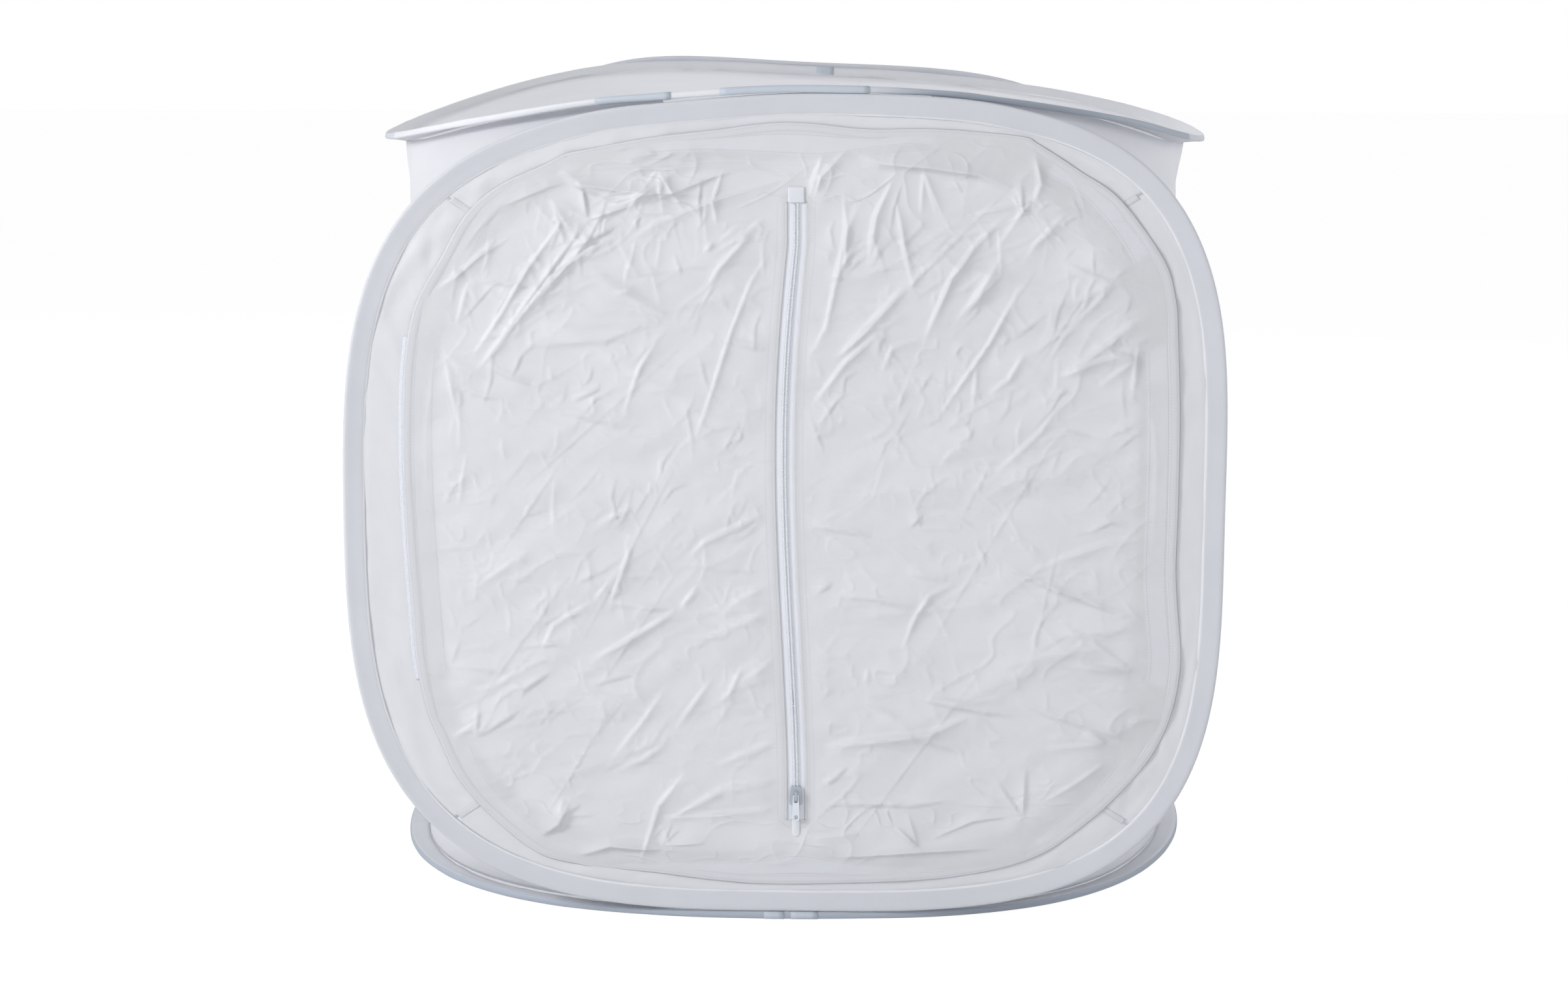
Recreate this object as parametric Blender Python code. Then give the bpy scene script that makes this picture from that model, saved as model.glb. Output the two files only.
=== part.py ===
"""A pop-up light tent cube, standing on the floor, in metres with +Z up.

Four flat spring-steel hoops, each in a sewn fabric channel, make a belt of front, top, back and
bottom. The left and right sides are fabric without a hoop, sewn to the inner edges of the four
channels. The front is a flange ring that carries loop strips, and a cover with a zipped slit
closes it. The front faces -Y, and the origin is on the floor under the middle of the tent.
"""

import math

import bmesh
import bpy
from mathutils import Vector

# Driving dimensions of the hoops, over the outside of their channels
FRONT_WIDTH = 0.800
FRONT_HEIGHT = 0.744
PLAN_DEPTH = 0.800
TOP_OVERHANG = 0.005
BOTTOM_NARROWING = 0.006
TOP_WIDTH = FRONT_WIDTH + 2 * TOP_OVERHANG
BOTTOM_WIDTH = FRONT_WIDTH - 2 * BOTTOM_NARROWING
UPRIGHT_CORNER_POWER = 3.3
LEVEL_CORNER_POWER = 2.6

# The top hoop bends down to its left and right ends
TOP_DROOP = 0.056
LEVEL_WIDTH = 0.120
TOP_SAG = 0.006

# Sewn channel: a folded strip, open along its inner edge, that holds the wire and the panel
CHANNEL_DEPTH = 0.0195
CHANNEL_THICKNESS = 0.0090
CHANNEL_PLY = 0.0006
CHANNEL_CREST_INSET = 0.0075
CHANNEL_TIP_HEIGHT = 0.0044
CHANNEL_MOUTH = 0.0020

# Flat spring-steel wire and the crimped sleeve over its two ends
WIRE_WIDTH = 0.0044
WIRE_THICKNESS = 0.0012
WIRE_INSET = 0.0070
WIRE_END_GAP = 0.0010
FERRULE_LENGTH = 0.030
FERRULE_WALL = 0.0004

# Fabric
CLOTH = 0.0005
PANEL_TUCK = 0.0080
SIDE_DRAW_IN = 0.020
TONGUE_END = 0.120

# Clearances
SEW_GAP = 0.0003
SIDE_GAP = 0.0006
EDGE_GAP = 0.0004
FLOOR_GAP = 0.0003
OVERRUN = 0.0002

# Front opening, flange and the flange's corner seams
FLANGE_SIDE = 0.080
FLANGE_END = 0.0575
OPENING_WIDTH = FRONT_WIDTH - 2 * FLANGE_SIDE
OPENING_HEIGHT = FRONT_HEIGHT - 2 * FLANGE_END
CORNER_SEAM_WIDTH = 0.007
CORNER_SEAM_THICKNESS = 0.0006
CORNER_SEAM_END_GAP = 0.0015

# Front cover, its binding and the hook and loop strips
COVER_OVERLAP = 0.0338
COVER_WIDTH = OPENING_WIDTH + 2 * COVER_OVERLAP
COVER_HEIGHT = OPENING_HEIGHT + 2 * COVER_OVERLAP
COVER_SHIFT = 0.006
COVER_CORNER_POWER = 3.2
BINDING_WIDTH = 0.0070
BINDING_PLY = 0.0004
TAPE_WIDTH = 0.020
TAPE_THICKNESS = 0.0010
TAPE_INSET = 0.0080
SIDE_TAPE_SHARE = 0.44
LEVEL_TAPE_SHARE = 0.36
CORNER_TAPE_SHARE = 0.185

# Zipped slit in the cover
SLOT_WIDTH = 0.0153
SLOT_LOW_MARGIN = 0.0620
SLOT_HIGH_MARGIN = 0.0730
SLOT_HEIGHT = COVER_HEIGHT - SLOT_LOW_MARGIN - SLOT_HIGH_MARGIN
ZIP_OFFSET = 0.005
ZIP_TAPE_WIDTH = 0.0130
ZIP_TAPE_RUN = 0.0075
ZIP_MIDDLE_GAP = 0.0014
COIL_WIDTH = 0.0022
COIL_THICKNESS = 0.0016
COIL_BEVEL = 0.0004
COIL_END_GAP = 0.0010
TOP_TAB_HEIGHT = 0.0135
TONGUE_WIDTH = 0.0073
TONGUE_LENGTH = 0.020
TONGUE_DROP = 0.0105
TAB_THICKNESS = 0.0006

# Zip slider and its pull
SLIDER_WIDTH = 0.0112
SLIDER_NECK = 0.0088
SLIDER_LENGTH = 0.0172
SLIDER_PLATE = 0.0012
SLIDER_BACK_WIDTH = 0.0100
SLIDER_BACK_PLATE = 0.0010
SLIDER_RIM = 0.0008
SLIDER_RIM_DEPTH = 0.0014
SLIDER_POST = 0.0006
SLIDER_RISE = 0.0150
BRIDGE_WIDTH = 0.0024
BRIDGE_LENGTH = 0.0094
BRIDGE_HEIGHT = 0.0040
BRIDGE_THICKNESS = 0.0008
PULL_WIDTH = 0.0064
PULL_LENGTH = 0.0245
PULL_THICKNESS = 0.0012
PULL_BAR = 0.0016
PULL_STANDOFF = 0.0013
PULL_WINDOW_WIDTH = 0.0034
PULL_WINDOW_LENGTH = 0.0060
PULL_HOLE_DIAMETER = 0.0030
PULL_HOLE_INSET = 0.0036
PULL_CORNER = 0.0018

# Patches sewn over the channels where they were closed
PATCH_PLY = 0.0004
LEFT_PATCH_LENGTH = 0.068
MIDDLE_PATCH_LENGTH = 0.127
BACK_PATCH_LENGTH = 0.017
BOTTOM_LEFT_PATCH_LENGTH = 0.013
BOTTOM_RIGHT_PATCH_LENGTH = 0.022
LEFT_PATCH_PLACE = -0.135
MIDDLE_PATCH_PLACE = 0.008
BACK_PATCH_PLACE = 0.022
BOTTOM_LEFT_PATCH_PLACE = -0.007
BOTTOM_RIGHT_PATCH_PLACE = 0.018

# Where each hoop's wire ends meet, in degrees round from its right-hand end
TOP_JOIN = -109.0
FRONT_JOIN = 90.0
BACK_JOIN = 90.0
BOTTOM_JOIN = -90.0

# How finely the round shapes are stepped
HOOP_STEPS = 56
SIDE_EDGE_STEPS = 10
SIDE_RING_STEPS = 8
COVER_SIDE_STEPS = 18
COVER_END_STEPS = 10
FLANGE_STEPS = 12
ROUND_STEPS = 12
TURN_STEPS = 4

# Heights and planes that follow from the sizes above
HALF_CHANNEL = CHANNEL_THICKNESS / 2
BOTTOM_Z = FLOOR_GAP + HALF_CHANNEL
FRONT_BASE_Z = BOTTOM_Z + HALF_CHANNEL + EDGE_GAP
MIDDLE_Z = FRONT_BASE_Z + FRONT_HEIGHT / 2
FRONT_TOP_Z = FRONT_BASE_Z + FRONT_HEIGHT
TOP_Z = FRONT_TOP_Z + EDGE_GAP + HALF_CHANNEL
SLOT_BOTTOM = MIDDLE_Z - COVER_HEIGHT / 2 + SLOT_LOW_MARGIN
ZIP_X = COVER_SHIFT + ZIP_OFFSET
HOOP_Y = PLAN_DEPTH / 2 - HALF_CHANNEL
INNER_Y = PLAN_DEPTH / 2 - CHANNEL_THICKNESS

# How far the side panels' edges stay from the planes of the hoops
SIDE_EDGE_OFFSET = CHANNEL_MOUTH / 2 + CHANNEL_PLY + SEW_GAP + CLOTH / 2

# Layers in front of the flange, each given by the distance of its middle from the hoop's plane
LOOP_LAYER = CLOTH / 2 + SEW_GAP + TAPE_THICKNESS / 2
HOOK_LAYER = LOOP_LAYER + TAPE_THICKNESS + SEW_GAP
COVER_LAYER = HOOK_LAYER + TAPE_THICKNESS / 2 + SEW_GAP + CLOTH / 2
ZIP_TAPE_LAYER = COVER_LAYER - CLOTH - SEW_GAP
COIL_LAYER = ZIP_TAPE_LAYER + CLOTH / 2 + SEW_GAP + COIL_THICKNESS / 2
TAB_LAYER = COVER_LAYER + CLOTH / 2 + SEW_GAP + TAB_THICKNESS / 2
SLIDER_FACE_LAYER = COIL_LAYER + COIL_THICKNESS / 2 + SEW_GAP
PULL_LAYER = SLIDER_FACE_LAYER + SLIDER_PLATE + PULL_STANDOFF
BINDING_REACH = SEW_GAP + BINDING_PLY
BINDING_LAYER = COVER_LAYER + CLOTH / 2 + BINDING_REACH
SLIDER_Z = SLOT_BOTTOM + SLIDER_RISE + SLIDER_LENGTH / 2

# Broad folds in the cover: start and end as shares of its half width and height, and the
# fold's height and half width as shares of the cover's width
COVER_FOLD_SHARES = (
    ((-0.80, 0.62), (-0.12, 0.20), 0.0075, 0.062),
    ((0.78, 0.55), (0.15, 0.72), 0.0080, 0.055),
    ((0.20, -0.62), (0.84, -0.30), 0.0065, 0.062),
    ((-0.85, -0.10), (-0.15, -0.35), 0.0055, 0.070),
    ((-0.70, -0.75), (-0.20, -0.55), 0.0060, 0.055),
    ((0.18, 0.05), (0.86, 0.12), 0.0055, 0.070),
)
# Rings of the cover from the slit to the edge; the last two lie under the strips and the binding
COVER_RING_SHARES = (0.0, 0.05, 0.20, 0.38, 0.56, 0.72, 0.86, 1.0)
FOLD_END_SHARE = 0.86
# Rings of the top and bottom panels inside the strip that the channel holds
PANEL_RING_SHARES = (0.91, 0.80, 0.55, 0.28)
FLOOR_RING_SHARES = (0.91,)


def clear_scene():
    for old in list(bpy.data.objects):
        bpy.data.objects.remove(old, do_unlink=True)


def make_material(name, colour, roughness, metallic=0.0):
    material = bpy.data.materials.new(name)
    material.use_nodes = True
    shader = material.node_tree.nodes["Principled BSDF"]
    shader.inputs["Base Color"].default_value = (*colour, 1.0)
    shader.inputs["Roughness"].default_value = roughness
    shader.inputs["Metallic"].default_value = metallic
    return material


def make_materials():
    return {
        "panel": make_material("white_diffusion_fabric", (0.74, 0.75, 0.79), 0.75),
        "channel": make_material("white_channel_fabric", (0.66, 0.69, 0.76), 0.70),
        "patch": make_material("white_patch_fabric", (0.76, 0.78, 0.83), 0.70),
        "steel": make_material("spring_steel", (0.45, 0.46, 0.48), 0.35, 1.0),
        "ferrule": make_material("plated_ferrule", (0.62, 0.62, 0.60), 0.30, 1.0),
        "loop": make_material("white_loop_tape", (0.72, 0.75, 0.82), 0.90),
        "hook": make_material("white_hook_tape", (0.66, 0.70, 0.80), 0.60),
        "zip_tape": make_material("white_zip_tape", (0.76, 0.78, 0.84), 0.80),
        "coil": make_material("white_nylon_coil", (0.68, 0.70, 0.76), 0.35),
        "zip_metal": make_material("pale_zinc_slider", (0.55, 0.58, 0.63), 0.35, 0.6),
    }


def carry(carriers, name, place, above=None):
    """An empty on a joint's axis, which carries the pieces of one moving body."""
    empty = bpy.data.objects.new(name, None)
    bpy.context.scene.collection.objects.link(empty)
    empty.location = place
    if above:
        holder, holder_place = carriers[above]
        empty.parent = holder
        empty.location = place - holder_place
    carriers[name] = (empty, place)


def add_piece(name, mesh, material, carrier=None, smooth=True):
    """Makes a named object of a mesh drawn in the tent's frame, hung from its carrier."""
    data = bpy.data.meshes.new(name)
    bmesh.ops.recalc_face_normals(mesh, faces=mesh.faces)
    if carrier:
        bmesh.ops.translate(mesh, vec=-carrier[1], verts=mesh.verts)
    mesh.to_mesh(data)
    mesh.free()
    data.materials.append(material)
    piece = bpy.data.objects.new(name, data)
    bpy.context.scene.collection.objects.link(piece)
    if carrier:
        piece.parent = carrier[0]
    if smooth:
        data.shade_smooth()
        data.set_sharp_from_angle(angle=math.radians(35))
    return piece


def thicken(piece, thickness):
    """Gives a sheet its thickness, half to each side."""
    solid = piece.modifiers.new("thickness", "SOLIDIFY")
    solid.thickness = thickness
    solid.offset = 0.0


def reach_share(angle, power):
    """How far a rounded square of unit half width reaches at an angle from its middle."""
    return (abs(math.cos(angle)) ** power + abs(math.sin(angle)) ** power) ** (-1 / power)


def outline_point(width, height, power, angle):
    reach = reach_share(angle, power)
    return width / 2 * reach * math.cos(angle), height / 2 * reach * math.sin(angle)


def outline(width, height, power, count, first=0.0):
    steps = (first + math.tau * step / count for step in range(count))
    return [outline_point(width, height, power, angle) for angle in steps]


def droop(x):
    """How far the top hoop has bent down at a distance x from its middle."""
    bent = max(0.0, abs(x) - LEVEL_WIDTH / 2)
    return TOP_DROOP * (bent / (TOP_WIDTH / 2 - LEVEL_WIDTH / 2)) ** 2


def droop_slope(x):
    bent = max(0.0, abs(x) - LEVEL_WIDTH / 2)
    return 2 * TOP_DROOP * bent / (TOP_WIDTH / 2 - LEVEL_WIDTH / 2) ** 2


def front_place(across, up):
    return Vector((across, -HOOP_Y, MIDDLE_Z + up))


def back_place(across, up):
    return Vector((across, HOOP_Y, MIDDLE_Z + up))


def bottom_place(across, deep):
    return Vector((across, deep, BOTTOM_Z))


def top_place(across, deep):
    return Vector((across, deep, TOP_Z - droop(across)))


def upright_normal(across):
    return Vector((0, -1, 0))


def bottom_normal(across):
    return Vector((0, 0, 1))


def top_normal(across):
    return Vector((math.copysign(droop_slope(across), across), 0, 1)).normalized()


def section_frames(points, normals, closed):
    """At each point of a path: the point, the direction out of the hoop and the one across it."""
    count = len(points)
    frames = []
    for index, (point, normal) in enumerate(zip(points, normals)):
        sides = []
        if closed or index > 0:
            sides.append((point - points[index - 1]).cross(normal).normalized())
        if closed or index < count - 1:
            sides.append((points[(index + 1) % count] - point).cross(normal).normalized())
        outward = sides[0]
        if len(sides) == 2:
            outward = (sides[0] + sides[1]) / (1 + sides[0].dot(sides[1]))
        frames.append((point, outward, normal))
    return frames


def hoop_frames(width, height, power, place, normal, join):
    """Section frames round a hoop, starting where its wire's ends meet."""
    flat = outline(width, height, power, HOOP_STEPS, math.radians(join))
    points = [place(*pair) for pair in flat]
    return section_frames(points, [normal(pair[0]) for pair in flat], closed=True)


def stretch_of(frames, start, end):
    """The frames between two distances along a closed hoop, with new ones at both ends."""
    count = len(frames)
    lengths = [(frames[(i + 1) % count][0] - frames[i][0]).length for i in range(count)]
    total = sum(lengths)
    points = []
    normals = []

    def add_at(distance):
        along = distance % total
        for index, length in enumerate(lengths):
            if along <= length:
                break
            along -= length
        here, there = frames[index], frames[(index + 1) % count]
        points.append(here[0].lerp(there[0], along / length))
        normals.append(here[2].lerp(there[2], along / length).normalized())

    add_at(start)
    for turn in (-1, 0, 1):
        walked = turn * total
        for index in range(count):
            if start + OVERRUN < walked < end - OVERRUN:
                points.append(frames[index][0])
                normals.append(frames[index][2])
            walked += lengths[index]
    add_at(end)
    return section_frames(points, normals, closed=False)


def distance_to(frames, across, front):
    """The distance along a hoop to where it crosses a place in x, on its -Y or its +Y side."""
    walked = 0.0
    for index, (point, outward, normal) in enumerate(frames):
        following = frames[(index + 1) % len(frames)][0]
        span = (following - point).length
        on_side = (point.y < 0) == front and (following.y < 0) == front
        if on_side and (point.x - across) * (following.x - across) <= 0:
            return walked + span * (across - point.x) / (following.x - point.x)
        walked += span
    return walked


def hoop_length(frames):
    count = len(frames)
    return sum((frames[(i + 1) % count][0] - frames[i][0]).length for i in range(count))


def offset_line(points, distance):
    """An open flat line moved to its left by a distance."""
    moved = []
    for index, (x, y) in enumerate(points):
        normals = []
        for first, second in ((index - 1, index), (index, index + 1)):
            if 0 <= first and second < len(points):
                run = points[second][0] - points[first][0]
                rise = points[second][1] - points[first][1]
                length = math.hypot(run, rise)
                normals.append((-rise / length, run / length))
        left = normals[0]
        if len(normals) == 2:
            spread = 1 + normals[0][0] * normals[1][0] + normals[0][1] * normals[1][1]
            left = ((normals[0][0] + normals[1][0]) / spread, (normals[0][1] + normals[1][1]) / spread)
        moved.append((x + left[0] * distance, y + left[1] * distance))
    return moved


def thick_line(points, thickness):
    """The closed outline of an open line with a thickness."""
    return offset_line(points, thickness / 2) + offset_line(points, -thickness / 2)[::-1]


def sweep(frames, profile, closed):
    """A solid made by carrying a closed profile of (outward, across) points along frames."""
    mesh = bmesh.new()
    rings = []
    for point, outward, normal in frames:
        rings.append([mesh.verts.new(point + outward * out + normal * up) for out, up in profile])
    skin_rings(mesh, rings, closed)
    if not closed:
        mesh.faces.new(rings[0])
        mesh.faces.new(rings[-1])
    return mesh


def skin_rings(mesh, rings, closed):
    spans = len(rings) if closed else len(rings) - 1
    for index in range(spans):
        first, second = rings[index], rings[(index + 1) % len(rings)]
        for side in range(len(first)):
            nearby = (side + 1) % len(first)
            mesh.faces.new((first[side], first[nearby], second[nearby], second[side]))


def rectangle(middle, half_out, half_up):
    corners = ((-1, -1), (1, -1), (1, 1), (-1, 1))
    return [(middle + out * half_out, up * half_up) for out, up in corners]


def sleeve(frames, outer, inner):
    """A tube along frames, from an outer and an inner profile with as many points."""
    mesh = bmesh.new()
    shells = []
    for profile in (outer, inner):
        rings = []
        for point, outward, normal in frames:
            rings.append([mesh.verts.new(point + outward * out + normal * up) for out, up in profile])
        skin_rings(mesh, rings, closed=False)
        shells.append(rings)
    for end in (0, -1):
        skin_rings(mesh, [shells[0][end], shells[1][end]], closed=False)
    return mesh


def channel_line():
    """The middle line of the channel's ply: up one side, round the outer edge and back."""
    mouth = CHANNEL_MOUTH / 2 + CHANNEL_PLY / 2
    crest = HALF_CHANNEL - CHANNEL_PLY / 2
    tip = CHANNEL_TIP_HEIGHT / 2
    edge = -CHANNEL_PLY / 2
    half = [(-CHANNEL_DEPTH, mouth), (-CHANNEL_CREST_INSET, crest), (edge, tip)]
    return half + [(out, -up) for out, up in reversed(half)]


def make_hoop(name, frames, materials, carrier):
    """A hoop's channel, the wire in it and the ferrule that joins the wire's ends."""
    channel = sweep(frames, thick_line(channel_line(), CHANNEL_PLY), closed=True)
    add_piece(f"{name}_channel", channel, materials["channel"], carrier)
    total = hoop_length(frames)
    wire_frames = stretch_of(frames, WIRE_END_GAP / 2, total - WIRE_END_GAP / 2)
    wire_profile = rectangle(-WIRE_INSET, WIRE_THICKNESS / 2, WIRE_WIDTH / 2)
    wire = sweep(wire_frames, wire_profile, closed=False)
    add_piece(f"{name}_wire", wire, materials["steel"], carrier)
    ferrule_frames = stretch_of(frames, -FERRULE_LENGTH / 2, FERRULE_LENGTH / 2)
    bore = (WIRE_THICKNESS / 2 + SEW_GAP, WIRE_WIDTH / 2 + SEW_GAP)
    inner = rectangle(-WIRE_INSET, *bore)
    outer = rectangle(-WIRE_INSET, bore[0] + FERRULE_WALL, bore[1] + FERRULE_WALL)
    ferrule = sleeve(ferrule_frames, outer, inner)
    add_piece(f"{name}_ferrule", ferrule, materials["ferrule"], carrier)


def make_patch(name, frames, across, front, length, over_crest, materials, carrier):
    """A short patch of fabric over the outer edge of a channel."""
    line = offset_line(channel_line(), CHANNEL_PLY / 2 + SEW_GAP + PATCH_PLY / 2)
    rim = line[1:4] if over_crest else line[2:4]
    middle = distance_to(frames, across, front)
    patch_frames = stretch_of(frames, middle - length / 2, middle + length / 2)
    patch = sweep(patch_frames, thick_line(rim, PATCH_PLY), closed=False)
    add_piece(name, patch, materials["patch"], carrier, smooth=False)


def tucked(size):
    """The size of a panel whose edge is tucked into a channel."""
    return size - 2 * (CHANNEL_DEPTH - PANEL_TUCK)


def seamed(size):
    """The size of the line just inside a channel's mouth, where the side panels are sewn."""
    return size - 2 * (CHANNEL_DEPTH + SIDE_GAP)


def disc_surface(rings, middle):
    """A sheet of nested rings of points, closed by a fan, or by one flat face."""
    mesh = bmesh.new()
    made = [[mesh.verts.new(point) for point in ring] for ring in rings]
    skin_rings(mesh, made, closed=False)
    inner = made[-1]
    if middle is None:
        mesh.faces.new(inner)
        return mesh
    centre = mesh.verts.new(middle)
    for index, vertex in enumerate(inner):
        mesh.faces.new((vertex, inner[(index + 1) % len(inner)], centre))
    return mesh


def make_top_panel(frames, materials, carrier):
    """The top panel: tucked in the bent hoop's channel, and sagging a little inside it."""
    first = math.radians(TOP_JOIN)
    tuck = outline(tucked(TOP_WIDTH), tucked(PLAN_DEPTH), LEVEL_CORNER_POWER, HOOP_STEPS, first)
    seam = outline(seamed(TOP_WIDTH), seamed(PLAN_DEPTH), LEVEL_CORNER_POWER, HOOP_STEPS, first)
    rings = [[top_place(*pair) for pair in tuck], [top_place(*pair) for pair in seam]]
    for share in PANEL_RING_SHARES:
        sag = Vector((0, 0, -TOP_SAG * (1 - share**2)))
        rings.append([top_place(x * share, y * share) + sag for x, y in seam])
    middle = top_place(0, 0) - Vector((0, 0, TOP_SAG))
    panel = add_piece("top_panel", disc_surface(rings, middle), materials["panel"], carrier)
    thicken(panel, CLOTH)


def make_bottom_panel(materials):
    """The floor panel: tucked in the bottom channel, and lying flat on the floor inside it."""
    first = math.radians(BOTTOM_JOIN)
    sizes = (tucked(BOTTOM_WIDTH), tucked(PLAN_DEPTH)), (seamed(BOTTOM_WIDTH), seamed(PLAN_DEPTH))
    tuck, seam = (outline(*size, LEVEL_CORNER_POWER, HOOP_STEPS, first) for size in sizes)
    rings = [[bottom_place(*pair) for pair in tuck], [bottom_place(*pair) for pair in seam]]
    for share in FLOOR_RING_SHARES:
        rings.append([Vector((x * share, y * share, CLOTH / 2)) for x, y in seam])
    inner_share = FLOOR_RING_SHARES[-1] ** 2
    rings.append([Vector((x * inner_share, y * inner_share, CLOTH / 2)) for x, y in seam])
    panel = add_piece("bottom_panel", disc_surface(rings, None), materials["panel"])
    thicken(panel, CLOTH)


def make_back_panel(materials, carrier):
    first = math.radians(BACK_JOIN)
    size = (tucked(FRONT_WIDTH), tucked(FRONT_HEIGHT))
    flat = outline(*size, UPRIGHT_CORNER_POWER, HOOP_STEPS, first)
    mesh = disc_surface([[back_place(*pair) for pair in flat]], None)
    thicken(add_piece("back_panel", mesh, materials["panel"], carrier), CLOTH)


def side_point(side, u, v):
    """A point of a side panel. u runs from -1 at the front to 1 at the back, v from -1 at the
    bottom to 1 at the top, and the panel bulges out to side, which is -1 or 1."""
    edge_y = HOOP_Y - SIDE_EDGE_OFFSET
    low_z = BOTTOM_Z + SIDE_EDGE_OFFSET
    high_z = TOP_Z - SIDE_EDGE_OFFSET
    middle_z = (low_z + high_z) / 2
    level = (1 - abs(u)) / max(2 - abs(u) - abs(v), OVERRUN)
    height_share = (v + 1) / 2
    level_width = BOTTOM_WIDTH + (TOP_WIDTH - BOTTOM_WIDTH) * height_share
    width = seamed(FRONT_WIDTH + (level_width - FRONT_WIDTH) * level)
    power = UPRIGHT_CORNER_POWER + (LEVEL_CORNER_POWER - UPRIGHT_CORNER_POWER) * level
    upright_over = (high_z - low_z) / seamed(FRONT_HEIGHT)
    level_over = 2 * edge_y / seamed(PLAN_DEPTH)
    corner = abs(u * v) * (upright_over + (level_over - upright_over) * level)
    out = width / 2 * max(0.0, 1 - corner**power) ** (1 / power)
    out -= SIDE_DRAW_IN * (1 - u * u) * (1 - v * v)
    drop = droop(out) * level * height_share**2
    return Vector((side * out, u * edge_y, middle_z + v * (high_z - low_z) / 2 - drop))


def side_boundary():
    """The side panel's boundary in u and v: four edges with the belt's corners cut off."""
    edge_y = HOOP_Y - SIDE_EDGE_OFFSET
    half_z = (TOP_Z - BOTTOM_Z) / 2 - SIDE_EDGE_OFFSET
    upright_end = (1 - (2 * TONGUE_END / seamed(FRONT_WIDTH)) ** UPRIGHT_CORNER_POWER) ** (
        1 / UPRIGHT_CORNER_POWER
    )
    level_end = (1 - (2 * TONGUE_END / seamed(TOP_WIDTH)) ** LEVEL_CORNER_POWER) ** (
        1 / LEVEL_CORNER_POWER
    )
    v_end = upright_end * seamed(FRONT_HEIGHT) / 2 / half_z
    u_end = level_end * seamed(PLAN_DEPTH) / 2 / edge_y
    shares = [
        math.sin(math.pi / 2 * (2 * step / SIDE_EDGE_STEPS - 1)) for step in range(SIDE_EDGE_STEPS + 1)
    ]
    boundary = [(-1.0, -share * v_end) for share in shares]
    boundary += [(share * u_end, -1.0) for share in shares]
    boundary += [(1.0, share * v_end) for share in shares]
    boundary += [(-share * u_end, 1.0) for share in shares]
    return boundary


def make_side_panel(name, side, materials):
    """A side panel: fabric drawn between the inner edges of the four channels."""
    boundary = side_boundary()
    rings = []
    for step in range(SIDE_RING_STEPS, 0, -1):
        share = math.sin(math.pi / 2 * step / SIDE_RING_STEPS)
        rings.append([side_point(side, u * share, v * share) for u, v in boundary])
    mesh = disc_surface(rings, side_point(side, 0.0, 0.0))
    thicken(add_piece(name, mesh, materials["panel"]), CLOTH)


def band(outer, inner, start, end, steps, layer, thickness, shift=0.0):
    """A flat strip in front of the front hoop's plane, between two outlines and two angles."""
    mesh = bmesh.new()
    rings = []
    for step in range(steps + 1):
        angle = start + (end - start) * step / steps
        ring = []
        for size, face in ((outer, -1), (outer, 1), (inner, 1), (inner, -1)):
            x, up = outline_point(*size, angle)
            y = -HOOP_Y - layer + face * thickness / 2
            ring.append(mesh.verts.new((x + shift, y, MIDDLE_Z + up)))
        rings.append(ring)
    skin_rings(mesh, rings, closed=False)
    mesh.faces.new(rings[0])
    mesh.faces.new(rings[-1])
    return mesh


def make_flange(materials, carrier):
    """Four strips round the front opening, and the seams that join them at the corners."""
    outer = (tucked(FRONT_WIDTH), tucked(FRONT_HEIGHT), UPRIGHT_CORNER_POWER)
    inner = (OPENING_WIDTH, OPENING_HEIGHT, UPRIGHT_CORNER_POWER)
    half_gap = SEW_GAP / min(OPENING_WIDTH, OPENING_HEIGHT)
    for turn, side in enumerate(("right", "top", "left", "bottom")):
        middle = math.tau * turn / 4
        start = middle - math.pi / 4 + half_gap
        end = middle + math.pi / 4 - half_gap
        strip = band(outer, inner, start, end, FLANGE_STEPS, 0.0, CLOTH)
        add_piece(f"flange_{side}", strip, materials["panel"], carrier, smooth=False)


def make_corner_seams(materials, carrier):
    """The overlap at each corner of the flange, from the cover's edge to the channel."""
    cover = (COVER_WIDTH + 2 * BINDING_REACH, COVER_HEIGHT + 2 * BINDING_REACH, COVER_CORNER_POWER)
    channel = (seamed(FRONT_WIDTH), seamed(FRONT_HEIGHT), UPRIGHT_CORNER_POWER)
    layer = CLOTH / 2 + SEW_GAP + CORNER_SEAM_THICKNESS / 2
    names = ("top_right", "top_left", "bottom_left", "bottom_right")
    for turn, corner in enumerate(names):
        angle = math.pi / 4 + math.tau * turn / 4
        near = Vector(outline_point(*cover, angle)) + Vector((COVER_SHIFT, 0))
        far = Vector(outline_point(*channel, angle))
        along = (far - near).normalized()
        near += along * (CORNER_SEAM_END_GAP + CORNER_SEAM_WIDTH / 4)
        far -= along * CORNER_SEAM_END_GAP
        across = Vector((-along.y, along.x)) * CORNER_SEAM_WIDTH / 2
        corners = (near - across, far - across, far + across, near + across)
        mesh = plate([tuple(pair) for pair in corners], layer, CORNER_SEAM_THICKNESS)
        bmesh.ops.translate(mesh, vec=(0, 0, MIDDLE_Z), verts=mesh.verts)
        add_piece(f"flange_seam_{corner}", mesh, materials["channel"], carrier, smooth=False)


def plate(outline_points, layer, thickness):
    """A flat plate in front of the front hoop's plane, from its outline in x and z."""
    mesh = bmesh.new()
    rings = []
    for face in (-1, 1):
        y = -HOOP_Y - layer + face * thickness / 2
        rings.append([mesh.verts.new((x, y, z)) for x, z in outline_points])
    skin_rings(mesh, rings, closed=False)
    mesh.faces.new(rings[0])
    mesh.faces.new(rings[-1])
    return mesh


def cover_edge_frames():
    """Section frames round the cover's edge."""
    flat = [edge for slot, edge in cover_boundary()]
    points = [front_place(x + COVER_SHIFT, up) + Vector((0, -COVER_LAYER, 0)) for x, up in flat]
    return section_frames(points, [upright_normal(x) for x, up in flat], closed=True)


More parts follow.
